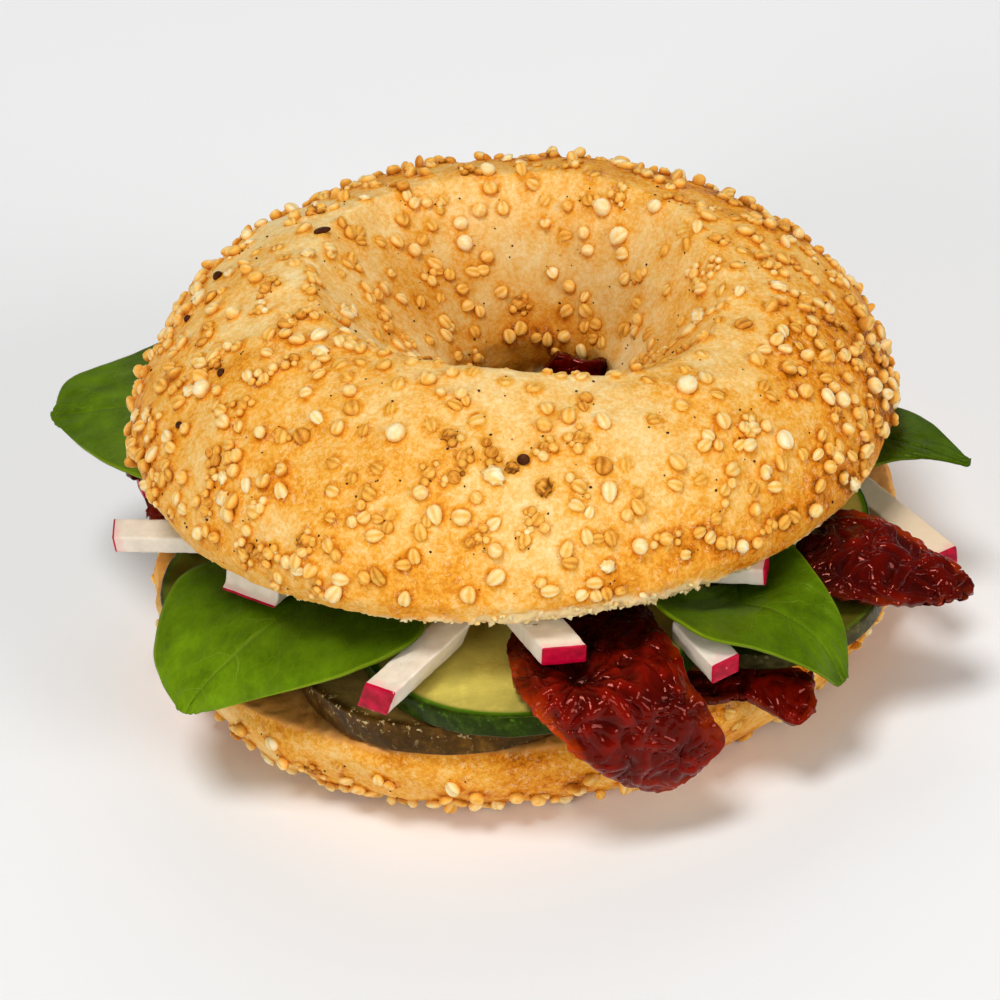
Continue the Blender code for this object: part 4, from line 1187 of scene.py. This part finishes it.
TOMATO_CURVES = {
    "tomato_front": (
        [(-3.4, -38.8, 25.1), (-5.0, -46.5, 25.0), (-3.8, -55.6, 25.6), (1.9, -60.4, 19.0),
         (8.6, -58.7, 10.9)],
        [(7.0, -37.0, 25.4), (7.2, -48.0, 25.4), (8.4, -57.8, 24.8), (10.6, -60.0, 16.7),
         (11.8, -58.6, 9.3)],
        [(14.6, -40.0, 25.3), (16.6, -47.6, 25.1), (19.2, -56.0, 21.8), (21.2, -58.2, 15.0),
         (15.4, -58.8, 10.3)]),
    "tomato_right": (
        [(36.6, -28.0, 25.6), (41.9, -25.6, 25.7), (47.5, -28.5, 25.7), (53.0, -31.9, 22.3),
         (57.4, -36.5, 20.5)],
        [(35.6, -34.0, 25.4), (40.5, -34.6, 26.0), (46.1, -36.5, 24.9), (51.8, -38.0, 21.6),
         (58.4, -38.9, 19.5)],
        [(35.6, -38.6, 24.2), (39.9, -41.8, 22.9), (45.7, -42.1, 20.9), (51.0, -42.0, 20.2),
         (56.8, -40.2, 19.3)]),
    "tomato_low_right": (
        [(13.4, -41.6, 15.85), (20.4, -43.4, 15.85), (26.9, -44.6, 15.85), (32.0, -45.3, 15.7),
         (35.4, -46.2, 15.2)],
        [(13.0, -43.6, 15.8), (20.5, -46.2, 15.8), (26.3, -47.7, 15.8), (31.4, -49.4, 14.6),
         (35.0, -48.4, 14.2)],
        [(13.4, -46.4, 15.6), (20.3, -49.4, 15.6), (25.9, -50.6, 15.4), (31.4, -53.4, 12.2),
         (34.4, -51.6, 13.2)]),
    "tomato_left": (
        [(-36.0, 24.0, 22.4), (-44.0, 22.0, 22.4), (-51.0, 14.0, 22.6)],
        [(-33.5, 9.0, 22.6), (-43.0, 8.0, 22.8), (-53.0, 7.0, 22.8)],
        [(-33.5, -6.0, 22.4), (-43.0, -6.5, 22.4), (-51.5, 0.0, 22.6)]),
    "tomato_left_bit": (
        [(-42.0, 12.0, 29.6), (-49.0, 10.5, 29.8), (-54.8, 7.8, 29.7)],
        [(-42.0, 9.0, 29.5), (-49.0, 7.5, 29.6), (-55.2, 6.2, 29.6)],
        [(-42.0, 6.0, 29.6), (-49.0, 4.6, 29.6), (-54.2, 4.6, 29.4)]),
    "tomato_middle": (
        [(-4.0, -13.0, 25.3), (-5.0, -2.0, 25.2), (-2.0, 7.0, 26.6), (8.6, 7.4, 37.4)],
        [(6.0, -14.0, 25.3), (6.0, -3.0, 25.2), (7.0, 6.0, 26.6), (11.8, 7.1, 36.4)],
        [(15.0, -13.0, 25.3), (16.0, -3.0, 25.2), (13.5, 4.0, 26.4), (15.0, 5.2, 36.6)]),
    "tomato_back": (
        [(14.0, 37.0, 23.8), (14.0, 45.0, 23.8), (15.0, 52.0, 22.6), (19.0, 57.0, 17.4)],
        [(20.0, 39.5, 23.4), (22.0, 46.0, 23.4), (24.0, 51.5, 21.8), (25.0, 55.5, 17.0)],
        [(27.0, 40.0, 23.2), (31.0, 43.5, 23.2), (33.5, 47.5, 21.8), (31.5, 52.5, 17.6)]),
}
# thickness, strength of the wrinkles, glow of the thin edges
TOMATO_FORMS = {
    "tomato_front": (1.3, 1.05, 1.0),
    "tomato_right": (1.3, 1.45, 0.7),
    "tomato_low_right": (1.1, 1.4, 0.8),
    "tomato_left": (3.2, 1.2, 0.5),
    "tomato_left_bit": (0.9, 1.2, 0.5),
    "tomato_middle": (1.3, 1.0, 0.0),
    "tomato_back": (1.3, 1.3, 1.0),
}
DIMPLES = {"tomato_front": (4.0, -54.0, 25.4)}


# Operators

class BAGEL_OT_halves(bpy.types.Operator):
    """Shape both halves of the bagel and strew their seeds"""
    bl_idname = "bagel.halves"
    bl_label = "Bagel and seeds"

    def execute(self, context):
        scene = context.scene
        sizes, seeds, colours = scene.bagel_sizes, scene.bagel_seeds, scene.bagel_colours
        crust, pale, dark = crust_material(colours), seed_material(colours), dark_seed_material()
        templates = seed_templates(seeds)
        top = Half(top_section(sizes), TOP_SPACINGS, TOP_STEPS, sizes, uneven_top, top_pose,
                   top_crumb, top_bake_and_shade, 0.0)
        sower = strew(top, seeds.top_groups, 0.0, 0.93, top_density, top_proud, templates, random.Random(5),
                      (64, 19, 17), STANDOUT_SEEDS)
        crumble(sower, seeds.crumbs, random.Random(7))
        finish_half(top, sower, "top", crust, pale, dark)
        bottom = Half(bottom_section(sizes), BOTTOM_SPACINGS, BOTTOM_STEPS, sizes, uneven_bottom,
                      lambda co: co, bottom_crumb, bottom_bake_and_shade, 0.85)
        sower = strew(bottom, seeds.bottom_groups, 0.1, 0.95, bottom_density, bottom_proud, templates,
                      random.Random(6), (76, 17, 7))
        finish_half(bottom, sower, "bottom", crust, pale, dark)
        return {"FINISHED"}


class BAGEL_OT_slices(bpy.types.Operator):
    """Lay the aubergine and cucumber slices"""
    bl_idname = "bagel.slices"
    bl_label = "Slices"

    def execute(self, context):
        colours = context.scene.bagel_colours
        cucumber = slice_material("cucumber", colours.cucumber_flesh, colours.cucumber_rind,
                                  (0.12, 0.30, 0.004), 0.96, (0.05, 0.12, 0.004), (0.7, 1.0, 0.2))
        aubergine = slice_material("aubergine", colours.aubergine_flesh, colours.aubergine_skin,
                                   (0.30, 0.16, 0.03), 0.97, (0.62, 0.46, 0.20), (1.0, 0.75, 0.35))
        courgette = slice_material("courgette", (0.16, 0.14, 0.012), (0.050, 0.042, 0.012),
                                   (0.10, 0.14, 0.01), 0.95, (0.16, 0.14, 0.05), (1.0, 0.9, 0.35))
        for node in ("aubergine_front", "aubergine_back", "aubergine_right"):
            vegetable_slice(node, aubergine, "aubergine")
        for node in ("cucumber_front", "cucumber_right", "cucumber_back", "cucumber_back_right"):
            vegetable_slice(node, cucumber, "cucumber", keep=1 if node == "cucumber_right" else 0)
        for node, keep in (("courgette_left", -1), ("courgette_right", 0)):
            vegetable_slice(node, courgette, "cucumber", keep)
        return {"FINISHED"}


class BAGEL_OT_radish(bpy.types.Operator):
    """Cut the radish sticks"""
    bl_idname = "bagel.radish"
    bl_label = "Radish sticks"

    def execute(self, context):
        material = radish_material(context.scene.bagel_colours)
        for node, shape in STICKS.items():
            radish_stick(node, material, STICK_WARM_LIGHT.get(node, 0.0), *shape)
        return {"FINISHED"}


class BAGEL_OT_leaves(bpy.types.Operator):
    """Grow the salad leaves"""
    bl_idname = "bagel.leaves"
    bl_label = "Leaves"

    def execute(self, context):
        material = leaf_material(context.scene.bagel_colours)
        for node, curves in LEAF_CURVES.items():
            salad_leaf(node, material, *curves, LEAF_SHADES.get(node, 0.0))
        return {"FINISHED"}


class BAGEL_OT_tomatoes(bpy.types.Operator):
    """Fold the dried tomatoes"""
    bl_idname = "bagel.tomatoes"
    bl_label = "Dried tomatoes"

    def execute(self, context):
        material = tomato_material(context.scene.bagel_colours)
        for k, (node, curves) in enumerate(TOMATO_CURVES.items()):
            dried_tomato(node, material, *curves, 60.0 + 7 * k, *TOMATO_FORMS[node], DIMPLES.get(node))
        return {"FINISHED"}


# place, height of the point on the axis that it shines at, and width, all in metres
LAMPS = {
    "key": ((-0.45, -1.00, 3.50), 0.03, 1.2),
    "left": ((-2.30, -2.60, 1.35), 0.02, 1.6),
    "right": ((2.40, -2.40, 1.45), 0.02, 1.6),
    "back": ((0.4, 2.3, 2.5), 0.03, 2.0),
}


def soft_lamp(name, place, aim_height, size, power):
    data = bpy.data.lights.new(name, "AREA")
    data.shape = "DISK"
    data.size = size
    data.energy = power
    lamp = shown(name, data)
    lamp.location = place
    way = Vector((0, 0, aim_height)) - Vector(place)
    lamp.rotation_euler = way.to_track_quat("-Z", "Y").to_euler()


class BAGEL_OT_stage(bpy.types.Operator):
    """Set the table, the light and the camera"""
    bl_idname = "bagel.stage"
    bl_label = "Stage"

    def execute(self, context):
        scene = context.scene
        stage = scene.bagel_stage
        bm = bmesh.new()
        bmesh.ops.create_grid(bm, x_segments=2, y_segments=2, size=4.0)
        mesh = to_mesh(bm, "table_top")
        mesh.materials.append(floor_material(stage.floor))
        floor = shown("table_top", mesh)
        world = bpy.data.worlds.new("even_light")
        world.use_nodes = True
        background = world.node_tree.nodes["Background"]
        background.inputs["Color"].default_value = (1, 1, 1, 1)
        background.inputs["Strength"].default_value = stage.sky
        scene.world = world
        for name, lamp in LAMPS.items():
            soft_lamp(name + "_lamp", *lamp, getattr(stage, name))
        back = Vector((math.sin(stage.azimuth) * math.cos(stage.elevation),
                       -math.cos(stage.azimuth) * math.cos(stage.elevation), math.sin(stage.elevation)))
        data = bpy.data.cameras.new("camera")
        data.lens = stage.lens
        data.clip_start = 0.01
        camera = shown("camera", data)
        camera.location = (AXIS + LOOK_AT) * MM + back * stage.distance
        look = (-back).to_track_quat("-Z", "Y").to_matrix() @ Matrix.Rotation(-stage.roll, 3, "Z")
        camera.rotation_euler = look.to_euler()
        scene.camera = camera
        scene.view_settings.view_transform = "Standard"
        return {"FINISHED"}


class BAGEL_PT_panel(bpy.types.Panel):
    """The sandwich's pieces, sizes and colours"""
    bl_idname = "BAGEL_PT_panel"
    bl_label = "Bagel Sandwich"
    bl_space_type = "VIEW_3D"
    bl_region_type = "UI"
    bl_category = "Bagel"

    def draw(self, context):
        for operator in OPERATORS:
            self.layout.operator(operator.bl_idname)
        for group, name in GROUPS.items():
            box = self.layout.box()
            for setting in group.__annotations__:
                box.prop(getattr(context.scene, name), setting)


OPERATORS = (BAGEL_OT_halves, BAGEL_OT_slices, BAGEL_OT_radish, BAGEL_OT_leaves, BAGEL_OT_tomatoes,
             BAGEL_OT_stage)
GROUPS = {BagelSizes: "bagel_sizes", SeedSizes: "bagel_seeds", FoodColours: "bagel_colours",
          StageSettings: "bagel_stage"}


def register():
    for group, name in GROUPS.items():
        bpy.utils.register_class(group)
        setattr(bpy.types.Scene, name, PointerProperty(type=group))
    for operator in OPERATORS:
        bpy.utils.register_class(operator)
    bpy.utils.register_class(BAGEL_PT_panel)


def unregister():
    bpy.utils.unregister_class(BAGEL_PT_panel)
    for operator in reversed(OPERATORS):
        bpy.utils.unregister_class(operator)
    for group, name in GROUPS.items():
        delattr(bpy.types.Scene, name)
        bpy.utils.unregister_class(group)


def main():
    register()
    bpy.ops.bagel.halves()
    bpy.ops.bagel.slices()
    bpy.ops.bagel.radish()
    bpy.ops.bagel.leaves()
    bpy.ops.bagel.tomatoes()
    bpy.ops.bagel.stage()


if __name__ == "__main__":
    main()
